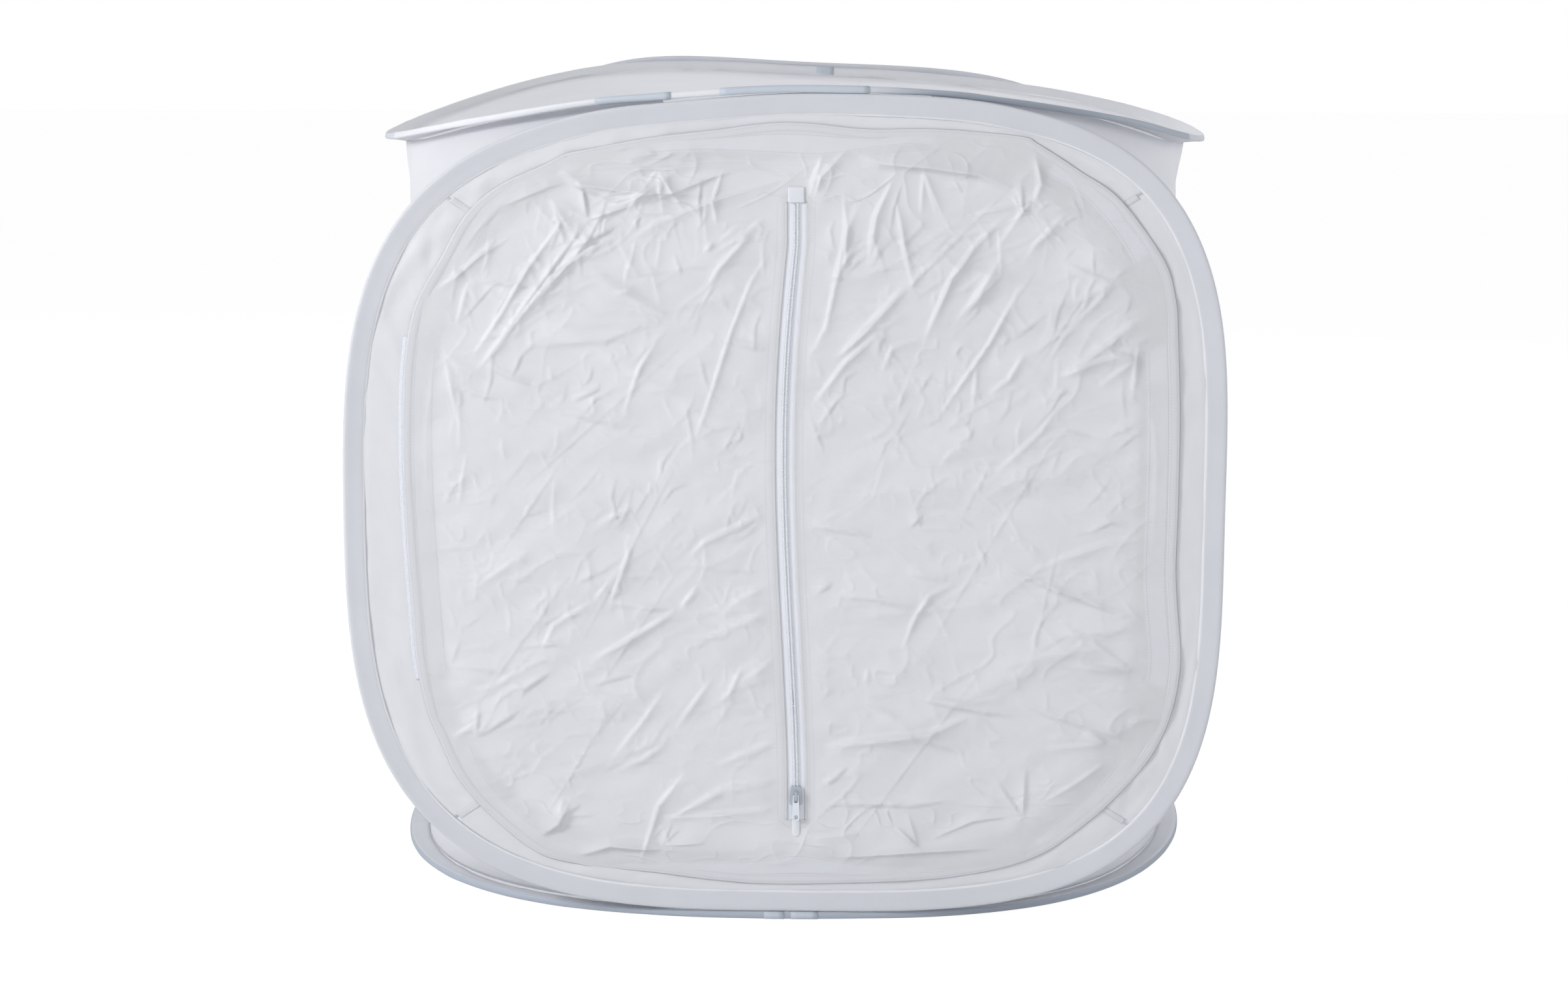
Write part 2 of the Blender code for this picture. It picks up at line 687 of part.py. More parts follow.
def distance_at(frames, angle):
    """The distance round the cover's edge to where it lies at an angle from its middle."""
    walked = 0.0
    for index, (point, outward, normal) in enumerate(frames):
        following = frames[(index + 1) % len(frames)][0]
        turns = []
        for place in (point, following):
            here = math.atan2(place.z - MIDDLE_Z, place.x - COVER_SHIFT)
            turns.append((here - angle + math.pi) % math.tau - math.pi)
        span = (following - point).length
        if turns[0] <= 0 < turns[1] and turns[1] - turns[0] < math.pi:
            return walked - span * turns[0] / (turns[1] - turns[0])
        walked += span
    return walked


def make_strips(kind, layer, materials, carrier):
    """Eight strips of hook or loop tape along the cover's edge: four sides and four corners."""
    frames = cover_edge_frames()
    middle_out = -TAPE_INSET - TAPE_WIDTH / 2
    section = rectangle(middle_out, TAPE_WIDTH / 2, TAPE_THICKNESS / 2)
    section = [(out, up + layer - COVER_LAYER) for out, up in section]
    places = ("right", "top_right", "top", "top_left", "left", "bottom_left", "bottom", "bottom_right")
    for turn, place in enumerate(places):
        length = CORNER_TAPE_SHARE * COVER_WIDTH
        if place in ("right", "left"):
            length = SIDE_TAPE_SHARE * COVER_HEIGHT
        elif place in ("top", "bottom"):
            length = LEVEL_TAPE_SHARE * COVER_WIDTH
        middle = distance_at(frames, math.tau * turn / 8)
        strip = sweep(stretch_of(frames, middle - length / 2, middle + length / 2), section, closed=False)
        add_piece(f"{kind}_strip_{place}", strip, materials[kind], carrier, smooth=False)


def fold_height(x, up):
    """How far the cover's broad folds stand forward at a place on it."""
    height = 0.0
    for start, end, height_share, width_share in COVER_FOLD_SHARES:
        first = Vector((start[0] * COVER_WIDTH / 2, start[1] * COVER_HEIGHT / 2))
        last = Vector((end[0] * COVER_WIDTH / 2, end[1] * COVER_HEIGHT / 2))
        run = last - first
        here = Vector((x, up)) - first
        along = min(1.0, max(0.0, here.dot(run) / run.length_squared))
        away = (here - run * along).length / (width_share * COVER_WIDTH)
        height += height_share * COVER_WIDTH * math.exp(-(away**2))
    return height


def cover_boundary():
    """Pairs of points: one on the slit, the other on the cover's edge."""
    slot_middle = SLOT_BOTTOM + SLOT_HEIGHT / 2 - MIDDLE_Z
    half_width, half_height = SLOT_WIDTH / 2, SLOT_HEIGHT / 2
    turn = math.atan2(SLOT_HEIGHT, COVER_WIDTH)
    corners = ((1, -1), (1, 1), (-1, 1), (-1, -1))
    angles = (-turn, turn, math.pi - turn, math.pi + turn, math.tau - turn)
    pairs = []
    for side in range(4):
        steps = COVER_END_STEPS if side % 2 else COVER_SIDE_STEPS
        first, last = corners[side], corners[(side + 1) % 4]
        for step in range(steps):
            share = step / steps
            slot_x = (first[0] + (last[0] - first[0]) * share) * half_width + ZIP_OFFSET
            slot_up = (first[1] + (last[1] - first[1]) * share) * half_height + slot_middle
            angle = angles[side] + (angles[side + 1] - angles[side]) * share
            edge = outline_point(COVER_WIDTH, COVER_HEIGHT, COVER_CORNER_POWER, angle)
            pairs.append(((slot_x, slot_up), edge))
    return pairs


def make_cover(materials, carrier):
    """The front cover: flat along its slit and its edge, with broad folds between them."""
    pairs = cover_boundary()
    mesh = bmesh.new()
    rings = []
    for share in reversed(COVER_RING_SHARES):
        ring = []
        for (slot_x, slot_up), (edge_x, edge_up) in pairs:
            x = slot_x + (edge_x - slot_x) * share
            up = slot_up + (edge_up - slot_up) * share
            rise = math.sin(math.pi * min(1.0, share / FOLD_END_SHARE)) ** 2
            y = -HOOP_Y - COVER_LAYER - rise * fold_height(x, up)
            ring.append(mesh.verts.new((x + COVER_SHIFT, y, MIDDLE_Z + up)))
        rings.append(ring)
    skin_rings(mesh, rings, closed=False)
    thicken(add_piece("front_cover", mesh, materials["panel"], carrier), CLOTH)


def make_binding(materials, carrier):
    """The folded tape that binds the cover's edge."""
    side = CLOTH / 2 + SEW_GAP + BINDING_PLY / 2
    edge = SEW_GAP + BINDING_PLY / 2
    line = [(-BINDING_WIDTH, side), (edge, side), (edge, -side), (-BINDING_WIDTH, -side)]
    mesh = sweep(cover_edge_frames(), thick_line(line, BINDING_PLY), closed=True)
    add_piece("cover_binding", mesh, materials["channel"], carrier)


def make_zip(materials, carrier):
    """The two tapes and coils of the zip, the tab over its top end and the tongue below it."""
    low = SLOT_BOTTOM - ZIP_TAPE_RUN
    high = SLOT_BOTTOM + SLOT_HEIGHT + ZIP_TAPE_RUN
    near = ZIP_MIDDLE_GAP / 2
    for name, side in (("left", -1), ("right", 1)):
        edges = sorted((ZIP_X + side * near, ZIP_X + side * (near + ZIP_TAPE_WIDTH)))
        corners = ((edges[0], low), (edges[1], low), (edges[1], high), (edges[0], high))
        tape = plate(corners, ZIP_TAPE_LAYER, CLOTH)
        add_piece(f"zip_tape_{name}", tape, materials["zip_tape"], carrier, smooth=False)
        middle = ZIP_X + side * (near + COIL_WIDTH / 2)
        coil = coil_bar(middle, SLOT_BOTTOM + COIL_END_GAP, SLOT_BOTTOM + SLOT_HEIGHT - COIL_END_GAP)
        add_piece(f"zip_coil_{name}", coil, materials["coil"], carrier, smooth=False)


def coil_bar(middle, low, high):
    """The space that one side's closed nylon coil fills: a long bar with bevelled edges."""
    mesh = bmesh.new()
    half = COIL_THICKNESS / 2
    wide = COIL_WIDTH / 2
    inset = COIL_BEVEL
    section = []
    for x_sign, y_sign, x_first in ((1, 1, True), (-1, 1, False), (-1, -1, True), (1, -1, False)):
        first = (x_sign * wide, y_sign * (half - inset))
        second = (x_sign * (wide - inset), y_sign * half)
        section += [first, second] if x_first else [second, first]
    rings = []
    for z in (low, high):
        rings.append([mesh.verts.new((middle + x, -HOOP_Y - COIL_LAYER + y, z)) for x, y in section])
    skin_rings(mesh, rings, closed=False)
    mesh.faces.new(rings[0])
    mesh.faces.new(rings[-1])
    return mesh


def rounded_plate_outline(width, length, corner, middle_x, low_z):
    """A plate's outline with four rounded corners, from its low edge up."""
    points = []
    places = ((1, 0, -90), (1, 1, 0), (-1, 1, 90), (-1, 0, 180))
    for x_sign, up, first in places:
        x = middle_x + x_sign * (width / 2 - corner)
        z = low_z + (length - corner if up else corner)
        for step in range(TURN_STEPS + 1):
            angle = math.radians(first + 90 * step / TURN_STEPS)
            points.append((x + corner * math.cos(angle), z + corner * math.sin(angle)))
    return points


def make_zip_ends(materials, carrier):
    high = SLOT_BOTTOM + SLOT_HEIGHT
    half = SLOT_WIDTH / 2
    left, right = ZIP_X - half, ZIP_X + half
    top = high + TOP_TAB_HEIGHT
    tab = plate(((left, high), (right, high), (right, top), (left, top)), TAB_LAYER, TAB_THICKNESS)
    add_piece("zip_top_tab", tab, materials["zip_tape"], carrier, smooth=False)
    corner = (TONGUE_WIDTH - OVERRUN) / 2
    low = SLOT_BOTTOM - TONGUE_DROP
    length = TONGUE_LENGTH / 2
    shape = rounded_plate_outline(TONGUE_WIDTH, length, corner, ZIP_X, low)
    tongue = plate(shape, TAB_LAYER, TAB_THICKNESS)
    add_piece("zip_bottom_tongue", tongue, materials["zip_tape"], carrier, smooth=False)


def slider_section(width, z):
    """The slider's section at one height: front plate, two rims, post and back plate."""
    face = -HOOP_Y - SLIDER_FACE_LAYER
    back = -HOOP_Y - ZIP_TAPE_LAYER + CLOTH / 2 + SEW_GAP
    rim_end = face + SLIDER_RIM_DEPTH
    half = [
        (width / 2, face - SLIDER_PLATE),
        (width / 2, rim_end),
        (width / 2 - SLIDER_RIM, rim_end),
        (width / 2 - SLIDER_RIM, face),
        (SLIDER_POST / 2, face),
        (SLIDER_POST / 2, back),
        (SLIDER_BACK_WIDTH / SLIDER_WIDTH * width / 2, back),
        (SLIDER_BACK_WIDTH / SLIDER_WIDTH * width / 2, back + SLIDER_BACK_PLATE),
    ]
    whole = half + [(-x, y) for x, y in reversed(half)]
    return [(ZIP_X + x, y, z) for x, y in whole]


def make_slider(materials, carrier):
    """The slider: a narrow neck above, wide shoulders below, and a bridge for the pull."""
    low, high = SLIDER_Z - SLIDER_LENGTH / 2, SLIDER_Z + SLIDER_LENGTH / 2
    bevel = SLIDER_RIM
    stations = (
        (SLIDER_WIDTH - 2 * bevel, low),
        (SLIDER_WIDTH, low + bevel),
        (SLIDER_WIDTH, SLIDER_Z - bevel),
        (SLIDER_NECK, high - bevel),
        (SLIDER_NECK - bevel, high),
    )
    mesh = bmesh.new()
    rings = []
    for width, z in stations:
        rings.append([mesh.verts.new(point) for point in slider_section(width, z)])
    skin_rings(mesh, rings, closed=False)
    mesh.faces.new(rings[0])
    mesh.faces.new(rings[-1])
    slider = add_piece("zip_slider", mesh, materials["zip_metal"], carrier)
    union = slider.modifiers.new("bridge", "BOOLEAN")
    union.operation = "UNION"
    union.object = make_bridge(materials, carrier)


def make_bridge(materials, carrier):
    """The arch over the middle of the slider that traps the pull's bar. The slider takes it in."""
    root = -HOOP_Y - SLIDER_FACE_LAYER - SLIDER_PLATE
    crown = root - BRIDGE_HEIGHT + BRIDGE_THICKNESS / 2
    half = BRIDGE_LENGTH / 2 - BRIDGE_THICKNESS / 2
    slope = BRIDGE_THICKNESS
    line = (
        (SLIDER_Z - half, root + OVERRUN),
        (SLIDER_Z - half, crown + slope),
        (SLIDER_Z - half + slope, crown),
        (SLIDER_Z + half - slope, crown),
        (SLIDER_Z + half, crown + slope),
        (SLIDER_Z + half, root + OVERRUN),
    )
    mesh = bmesh.new()
    rings = []
    for side in (-1, 1):
        x = ZIP_X + side * BRIDGE_WIDTH / 2
        rings.append([mesh.verts.new((x, y, z)) for z, y in thick_line(line, BRIDGE_THICKNESS)])
    skin_rings(mesh, rings, closed=False)
    mesh.faces.new(rings[0])
    mesh.faces.new(rings[-1])
    return hide_helper(add_piece("bridge_helper", mesh, materials["zip_metal"], carrier, smooth=False))


def hide_helper(piece):
    piece.hide_render = True
    piece.display_type = "WIRE"
    return piece


def make_pull(materials, carrier):
    """The pull: a small plate that hangs by its top bar, with a window and a hole."""
    top = SLIDER_Z + PULL_BAR / 2
    low = top - PULL_LENGTH
    shape = rounded_plate_outline(PULL_WIDTH, PULL_LENGTH, PULL_CORNER, ZIP_X, low)
    pull = add_piece("zip_pull", plate(shape, PULL_LAYER, PULL_THICKNESS), materials["zip_metal"], carrier)
    window_top = top - PULL_BAR
    window_low = window_top - PULL_WINDOW_LENGTH
    left, right = ZIP_X - PULL_WINDOW_WIDTH / 2, ZIP_X + PULL_WINDOW_WIDTH / 2
    window_shape = ((left, window_low), (right, window_low), (right, window_top), (left, window_top))
    hole_z = low + PULL_HOLE_INSET
    hole_shape = []
    for step in range(ROUND_STEPS):
        angle = math.tau * step / ROUND_STEPS
        x = ZIP_X + PULL_HOLE_DIAMETER / 2 * math.cos(angle)
        hole_shape.append((x, hole_z + PULL_HOLE_DIAMETER / 2 * math.sin(angle)))
    for name, shape in (("pull_window", window_shape), ("pull_hole", hole_shape)):
        mesh = plate(shape, PULL_LAYER, PULL_THICKNESS + 2 * OVERRUN)
        cutter = hide_helper(add_piece(name, mesh, materials["zip_metal"], carrier, smooth=False))
        cut = pull.modifiers.new(name, "BOOLEAN")
        cut.operation = "DIFFERENCE"
        cut.object = cutter


def make_carriers():
    """The joints' axes. The folding ones run along X at the corners of the belt."""
    carriers = {}
    corner_z = BOTTOM_Z + HALF_CHANNEL + EDGE_GAP / 2
    carry(carriers, "front_fold_axis", Vector((0, -INNER_Y, corner_z)))
    carry(carriers, "back_fold_axis", Vector((0, PLAN_DEPTH / 2, corner_z)))
    top_corner = Vector((0, INNER_Y, FRONT_TOP_Z + EDGE_GAP / 2 - CHANNEL_DEPTH))
    carry(carriers, "top_fold_axis", top_corner, "back_fold_axis")
    cover_z = MIDDLE_Z - COVER_HEIGHT / 2 - BINDING_REACH
    cover_axis = Vector((COVER_SHIFT, -HOOP_Y - BINDING_LAYER, cover_z))
    carry(carriers, "cover_axis", cover_axis, "front_fold_axis")
    slider_place = Vector((ZIP_X, -HOOP_Y - COIL_LAYER, SLIDER_Z))
    carry(carriers, "slider_axis", slider_place, "cover_axis")
    pull_place = Vector((ZIP_X, -HOOP_Y - PULL_LAYER, SLIDER_Z))
    carry(carriers, "pull_axis", pull_place, "slider_axis")
    return carriers


def make_belt(materials, carriers):
    """The four hoops with their panels and patches."""
    front, back, top = (carriers[f"{name}_fold_axis"] for name in ("front", "back", "top"))
    upright = (FRONT_WIDTH, FRONT_HEIGHT, UPRIGHT_CORNER_POWER)
    front_frames = hoop_frames(*upright, front_place, upright_normal, FRONT_JOIN)
    make_hoop("front", front_frames, materials, front)
    back_frames = hoop_frames(*upright, back_place, upright_normal, BACK_JOIN)
    make_hoop("back", back_frames, materials, back)
    floor = (BOTTOM_WIDTH, PLAN_DEPTH, LEVEL_CORNER_POWER)
    bottom_frames = hoop_frames(*floor, bottom_place, bottom_normal, BOTTOM_JOIN)
    make_hoop("bottom", bottom_frames, materials, None)
    roof = (TOP_WIDTH, PLAN_DEPTH, LEVEL_CORNER_POWER)
    top_frames = hoop_frames(*roof, top_place, top_normal, TOP_JOIN)
    make_hoop("top", top_frames, materials, top)
    make_top_panel(top_frames, materials, top)
    make_back_panel(materials, back)
    make_bottom_panel(materials)
    top_patches = (
        ("top_front_left_patch", LEFT_PATCH_PLACE, True, LEFT_PATCH_LENGTH),
        ("top_front_middle_patch", MIDDLE_PATCH_PLACE, True, MIDDLE_PATCH_LENGTH),
        ("top_back_patch", BACK_PATCH_PLACE, False, BACK_PATCH_LENGTH),
    )
    for name, place, on_front, length in top_patches:
        make_patch(name, top_frames, place, on_front, length, True, materials, top)
    bottom_patches = (
        ("bottom_left_patch", BOTTOM_LEFT_PATCH_PLACE, BOTTOM_LEFT_PATCH_LENGTH),
        ("bottom_right_patch", BOTTOM_RIGHT_PATCH_PLACE, BOTTOM_RIGHT_PATCH_LENGTH),
    )
    for name, place, length in bottom_patches:
        make_patch(name, bottom_frames, place, True, length, False, materials, None)


def make_front(materials, carriers):
    """The flange and its loop strips, then the cover with its hook strips and zip."""
    front, cover = carriers["front_fold_axis"], carriers["cover_axis"]
    make_flange(materials, front)
    make_corner_seams(materials, front)
    make_strips("loop", LOOP_LAYER, materials, front)
    make_strips("hook", HOOK_LAYER, materials, cover)
    make_cover(materials, cover)
    make_binding(materials, cover)
    make_zip(materials, cover)
    make_zip_ends(materials, cover)
    make_slider(materials, carriers["slider_axis"])
    make_pull(materials, carriers["pull_axis"])


def main():
    clear_scene()
    materials = make_materials()
    carriers = make_carriers()
    make_belt(materials, carriers)
    for name, side in (("left_side_panel", -1), ("right_side_panel", 1)):
        make_side_panel(name, side, materials)
    make_front(materials, carriers)


main()
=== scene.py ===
"""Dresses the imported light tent: white fabric on four sprung hoops, with a zipped front cover.

Lengths are in metres. The front faces -Y and the floor is at Z = 0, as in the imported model.
"""

import math

import bpy  # noqa: E402
import numpy as np  # noqa: E402
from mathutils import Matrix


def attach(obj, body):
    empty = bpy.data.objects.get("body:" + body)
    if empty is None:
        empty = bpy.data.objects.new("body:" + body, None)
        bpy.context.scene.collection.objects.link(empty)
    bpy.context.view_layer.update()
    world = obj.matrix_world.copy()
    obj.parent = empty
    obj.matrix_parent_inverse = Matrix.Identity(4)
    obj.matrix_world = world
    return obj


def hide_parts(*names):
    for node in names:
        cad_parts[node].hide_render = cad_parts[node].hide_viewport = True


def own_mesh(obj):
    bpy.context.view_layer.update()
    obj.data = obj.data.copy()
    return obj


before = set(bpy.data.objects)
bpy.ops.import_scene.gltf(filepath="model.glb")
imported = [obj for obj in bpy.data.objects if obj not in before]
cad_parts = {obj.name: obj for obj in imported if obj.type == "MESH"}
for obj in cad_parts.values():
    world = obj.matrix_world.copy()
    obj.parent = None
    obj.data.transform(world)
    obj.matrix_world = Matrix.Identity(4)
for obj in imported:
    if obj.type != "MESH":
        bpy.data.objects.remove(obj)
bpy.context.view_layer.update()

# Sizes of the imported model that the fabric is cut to
FRONT_WIDTH, FRONT_HEIGHT, PLAN_DEPTH = 0.800, 0.744, 0.800
TOP_WIDTH, BOTTOM_WIDTH = 0.810, 0.788
UPRIGHT_POWER, LEVEL_POWER = 3.3, 2.6
BOTTOM_Z, MIDDLE_Z, TOP_Z = 0.0048, 0.3817, 0.7586
BOTTOM_LIE, TOP_LIE = 0.0036, 0.7574
HOOP_Y = 0.3955
TOP_DROOP, LEVEL_WIDTH, TOP_SAG = 0.056, 0.120, 0.006
TOP_CURL = 0.46
CORNER_DRAWN_IN, FLOOR_CLOTH_Z = 0.008, 0.0007
CHANNEL_DEPTH, PANEL_TUCK = 0.0195, 0.0080
OPENING_WIDTH, OPENING_HEIGHT = 0.640, 0.629
COVER_X, ZIP_X = 0.006, 0.011
SLOT_LOW, SLOT_HIGH, SLOT_WIDTH = 0.0954, 0.6640, 0.0153
SIDE_EDGE = 0.00160
TONGUE_END = 0.120
SIDE_DRAW_IN = 0.020

# Cloth and how far each layer lies in front of the front hoop's plane
CLOTH = 0.0005
LOOP_LAYER, HOOK_LAYER = 0.0009, 0.0016
EDGE_LAYER, FREE_EDGE_LAYER = 0.0023, 0.0014
COVER_LAYER, ZIP_TAPE_LAYER, COIL_LAYER = 0.0034, 0.0028, 0.00395
TAPE_INSET, TAPE_WIDTH, TAPE_THICKNESS = 0.0080, 0.0200, 0.0006
LEFT_LOOP_OUT = 0.0120

# The cover's edge, in millimetres from its middle, anticlockwise from its top left corner
COVER_EDGE = (
    (-202, 324), (-222, 314), (-261, 296), (-291, 270), (-313, 233), (-337, 191), (-347, 149),
    (-351, 101), (-352, 41), (-350, -27), (-347, -78), (-343, -138), (-334, -186), (-322, -216),
    (-307, -249), (-278, -284), (-234, -320), (-195, -331), (-184, -333), (-126, -338),
    (-67, -345), (-8, -348), (109, -344), (179, -335), (232, -317), (273, -287), (303, -258),
    (330, -224), (347, -186), (355, -138), (351, -82), (349, -48), (350, 6), (350, 89),
    (347, 161), (344, 197), (332, 233), (293, 285), (256, 311), (220, 334), (203, 341),
    (132, 347), (68, 347), (15, 352), (-20, 352), (-67, 346), (-126, 339), (-185, 328),
)

# Creases in the cover: points along each in millimetres from its middle, then its height and
# the width of its slope in millimetres
CREASES = (
    (((-263, 249), (-299, 216), (-332, 194)), 2.2, 5),
    (((-201, 269), (-237, 221), (-259, 183), (-286, 143)), 1.6, 3),
    (((-158, 251), (-185, 237), (-216, 212), (-247, 174), (-283, 127)), 2.0, 4),
    (((-102, 309), (-142, 283), (-179, 268)), 1.6, 6),
    (((-185, 224), (-142, 199), (-110, 179)), 1.8, 4),
    (((-161, 224), (-112, 218)), 0.8, 4),
    (((-277, 135), (-234, 116)), 1.8, 5),
    (((-219, 99), (-176, 85), (-142, 80)), 1.4, 5),
    (((-118, 161), (-136, 133), (-150, 93)), 1.2, 3),
    (((-17, 240), (-35, 212), (-53, 168), (-75, 99), (-87, 65)), 1.3, 3),
    (((-61, 309), (-69, 283), (-66, 262)), 1.4, 3),
    (((-6, 302), (-63, 285), (-121, 263), (-142, 249)), 1.5, 5),
    (((-35, 255), (-66, 221), (-72, 208)), 1.8, 5),
    (((-23, 268), (-47, 249), (-69, 237)), 1.2, 4),
    (((-72, 161), (-10, 146)), 1.0, 3),
    (((-53, 93), (-10, 94)), 1.0, 3),
    (((-194, 299), (-173, 287)), 1.2, 4),
    (((-259, 290), (-234, 305), (-210, 315)), 1.6, 6),
    (((-286, 262), (-265, 290), (-247, 299)), 1.5, 6),
    (((-240, 152), (-167, 158), (-124, 174)), 1.1, 6),
    (((-299, 115), (-277, 105), (-259, 105)), 1.0, 3),
    (((-198, 102), (-170, 115)), 1.2, 4),
    (((-69, 246), (-78, 237)), 0.9, 3),
    (((187, 267), (164, 243), (143, 213), (129, 180), (120, 159)), 2.4, 4),
    (((188, 234), (167, 198), (149, 177)), 1.8, 6),
    (((102, 207), (79, 180), (43, 142)), 2.4, 6),
    (((79, 165), (50, 139), (21, 101)), 1.8, 4),
    (((205, 207), (178, 156), (134, 91)), 1.6, 3),
    (((94, 284), (102, 240), (111, 204)), 1.6, 4),
    (((91, 302), (76, 270), (70, 231)), 1.8, 5),
    (((47, 290), (50, 258), (48, 216)), 1.2, 3),
    (((310, 177), (254, 133), (240, 127)), 2.2, 5),
    (((305, 149), (272, 139), (244, 127)), 1.6, 4),
    (((244, 272), (219, 246), (210, 234)), 1.4, 4),
    (((210, 148), (196, 124), (177, 109)), 1.6, 4),
    (((59, 326), (79, 317), (126, 313), (167, 307), (199, 295)), 3.2, 9),
    (((242, 101), (225, 76), (184, 37)), 1.2, 4),
    (((277, 70), (248, 76), (222, 67)), 1.0, 3),
    (((216, 332), (222, 299), (216, 281)), 1.8, 5),
    (((226, 326), (254, 299)), 1.0, 4),
    (((63, 281), (50, 258), (32, 171), (15, 139)), 1.4, 4),
    (((117, 159), (91, 152), (82, 130)), 1.2, 3),
    (((167, 136), (164, 97)), 1.0, 3),
    (((311, 156), (307, 109)), 1.2, 3),
    (((29, 326), (15, 281)), 1.6, 6),
    (((53, 332), (27, 305), (21, 284)), 1.8, 6),
    (((196, 290), (206, 275), (205, 299)), 1.0, 4),
    (((-102, -89), (-142, -114), (-179, -136)), 2.2, 4),
    (((-84, -67), (-101, -89)), 1.4, 4),
    (((-20, 2), (-78, -26), (-93, -42)), 1.8, 4),
    (((-144, -29), (-164, -83)), 1.4, 3),
    (((-167, -84), (-105, -90)), 1.0, 3),
    (((-179, -81), (-216, -104), (-228, -129)), 1.3, 4),
    (((-259, -164), (-244, -164), (-219, -148)), 1.2, 3),
    (((-96, -242), (-121, -273), (-133, -311), (-139, -327)), 1.8, 4),
    (((-113, -214), (-136, -230), (-161, -242)), 1.4, 4),
    (((-13, -248), (-63, -258), (-115, -289)), 1.8, 6),
    (((-4, -208), (-32, -220), (-69, -236)), 1.4, 5),
    (((-44, -142), (-56, -167), (-66, -175)), 1.2, 3),
    (((-115, -164), (-136, -195), (-164, -230)), 1.2, 4),
    (((-286, -195), (-320, -217)), 1.6, 4),
    (((-231, -139), (-277, -164), (-296, -167)), 1.0, 5),
    (((-1, -273), (-69, -283), (-118, -286)), 1.3, 5),
    (((-72, -154), (-93, -183), (-105, -201)), 1.2, 4),
    (((-145, 5), (-176, -11)), 1.2, 4),
    (((-7, -129), (-47, -158)), 1.2, 5),
    (((-185, -161), (-139, -148)), 1.0, 3),
    (((-161, -58), (-179, -81)), 1.0, 3),
    (((-234, -32), (-271, -58), (-296, -76)), 0.9, 5),
    (((-7, -61), (-41, -76), (-66, -95)), 1.3, 8),
    (((-4, -86), (-44, -101), (-78, -117)), 1.3, 8),
    (((164, -186), (126, -204), (79, -210), (29, -218)), 2.6, 6),
    (((108, -168), (161, -180), (210, -188)), 1.6, 4),
    (((199, -167), (234, -185), (286, -201), (318, -212)), 1.4, 4),
    (((199, -167), (167, -173), (114, -170)), 0.8, 3),
    (((190, -46), (240, -69), (312, -96)), 2.0, 4),
    (((149, -63), (126, -75), (113, -96), (102, -125)), 1.6, 3),
    (((44, -75), (79, -78), (114, -87)), 1.8, 6),
    (((18, -11), (50, -15), (75, -21)), 1.8, 6),
    (((347, -15), (333, -36)), 1.8, 6),
    (((323, -21), (283, -27), (248, -39), (216, -54)), 1.4, 5),
    (((269, -15), (289, -6), (304, -11)), 1.0, 3),
    (((21, -271), (111, -271), (155, -265)), 1.2, 3),
    (((289, -229), (260, -250), (231, -268)), 1.2, 4),
    (((70, -143), (69, -158)), 1.0, 3),
    (((73, -145), (108, -146)), 1.0, 3),
    (((129, -304), (167, -286), (210, -280)), 1.3, 5),
    (((32, -253), (53, -235)), 1.0, 3),
    (((111, -206), (161, -223)), 1.1, 5),
    (((67, -173), (99, -189)), 1.0, 4),
    (((225, -113), (283, -107), (324, -101)), 1.3, 12),
    (((184, -143), (240, -128), (298, -122)), 1.3, 12),
    (((342, -188), (307, -191)), 1.6, 5),
    (((108, -12), (120, 0)), 0.9, 3),
    (((105, -54), (143, -61)), 1.2, 4),
    (((21, -75), (38, -63)), 1.0, 4),
    (((64, -298), (21, -304)), 1.0, 5),
    (((-201, 299), (-183, 295), (-156, 283), (-117, 291), (-76, 288)), 1.6, 6),
    (((-125, 283), (-68, 305), (-52, 309)), 1.5, 6),
    (((-267, 275), (-217, 295), (-201, 299)), 1.4, 5),
    (((-300, 230), (-266, 275)), 1.5, 4),
    (((-281, 132), (-201, 240), (-181, 266)), 1.3, 3),
    (((-231, 188), (-181, 248), (-165, 279)), 1.2, 3),
    (((-197, 240), (-155, 261)), 1.5, 3),
    (((-181, 266), (-143, 279)), 1.3, 3),
    (((-181, 266), (-187, 300)), 1.2, 3),
    (((-3, 315), (-61, 316), (-119, 312), (-183, 309)), 1.2, 5),
    (((-208, 312), (-188, 298), (-150, 292), (-118, 290)), 2.6, 7),
    (((-196, -322), (-166, -312), (-120, -316)), 2.6, 7),
    (((-238, -308), (-214, -292), (-203, -270)), 2.2, 6),
    (((-150, 322), (-90, 329), (-30, 326)), 2.0, 7),
    (((40, -322), (110, -316), (190, -312)), 1.8, 6),
    (((-320, 150), (-330, 80), (-331, 10)), 1.0, 5),
    (((322, 120), (330, 50), (328, -40)), 1.2, 5),
)
# Broad soft folds, in the same measures
FOLDS = (
    (((-280, 216), (-42, 70)), 4.0, 26),
    (((273, 192), (52, 251)), 4.0, 22),
    (((70, -216), (294, -105)), 3.5, 26),
    (((-298, -35), (-52, -122)), 3.0, 28),
    (((-245, -261), (-70, -192)), 3.0, 22),
    (((63, 17), (301, 42)), 3.0, 28),
)


# Small helpers for shapes


def rounded_reach(angle, power):
    """How far a rounded square of unit half width reaches at each angle from its middle."""
    return (np.abs(np.cos(angle)) ** power + np.abs(np.sin(angle)) ** power) ** (-1 / power)


def rounded_loop(width, height, power, angles):
    reach = rounded_reach(angles, power)
    return np.column_stack((width / 2 * reach * np.cos(angles), height / 2 * reach * np.sin(angles)))


def even_loop(points, steps):
    """A closed line stepped evenly: its points, and the distance along it to each."""
    closed = np.vstack((points, points[:1]))
    run = np.concatenate(([0], np.cumsum(np.linalg.norm(np.diff(closed, axis=0), axis=1))))
    along = np.linspace(0, run[-1], steps, endpoint=False)
    return np.column_stack([np.interp(along, run, axis) for axis in closed.T]), along


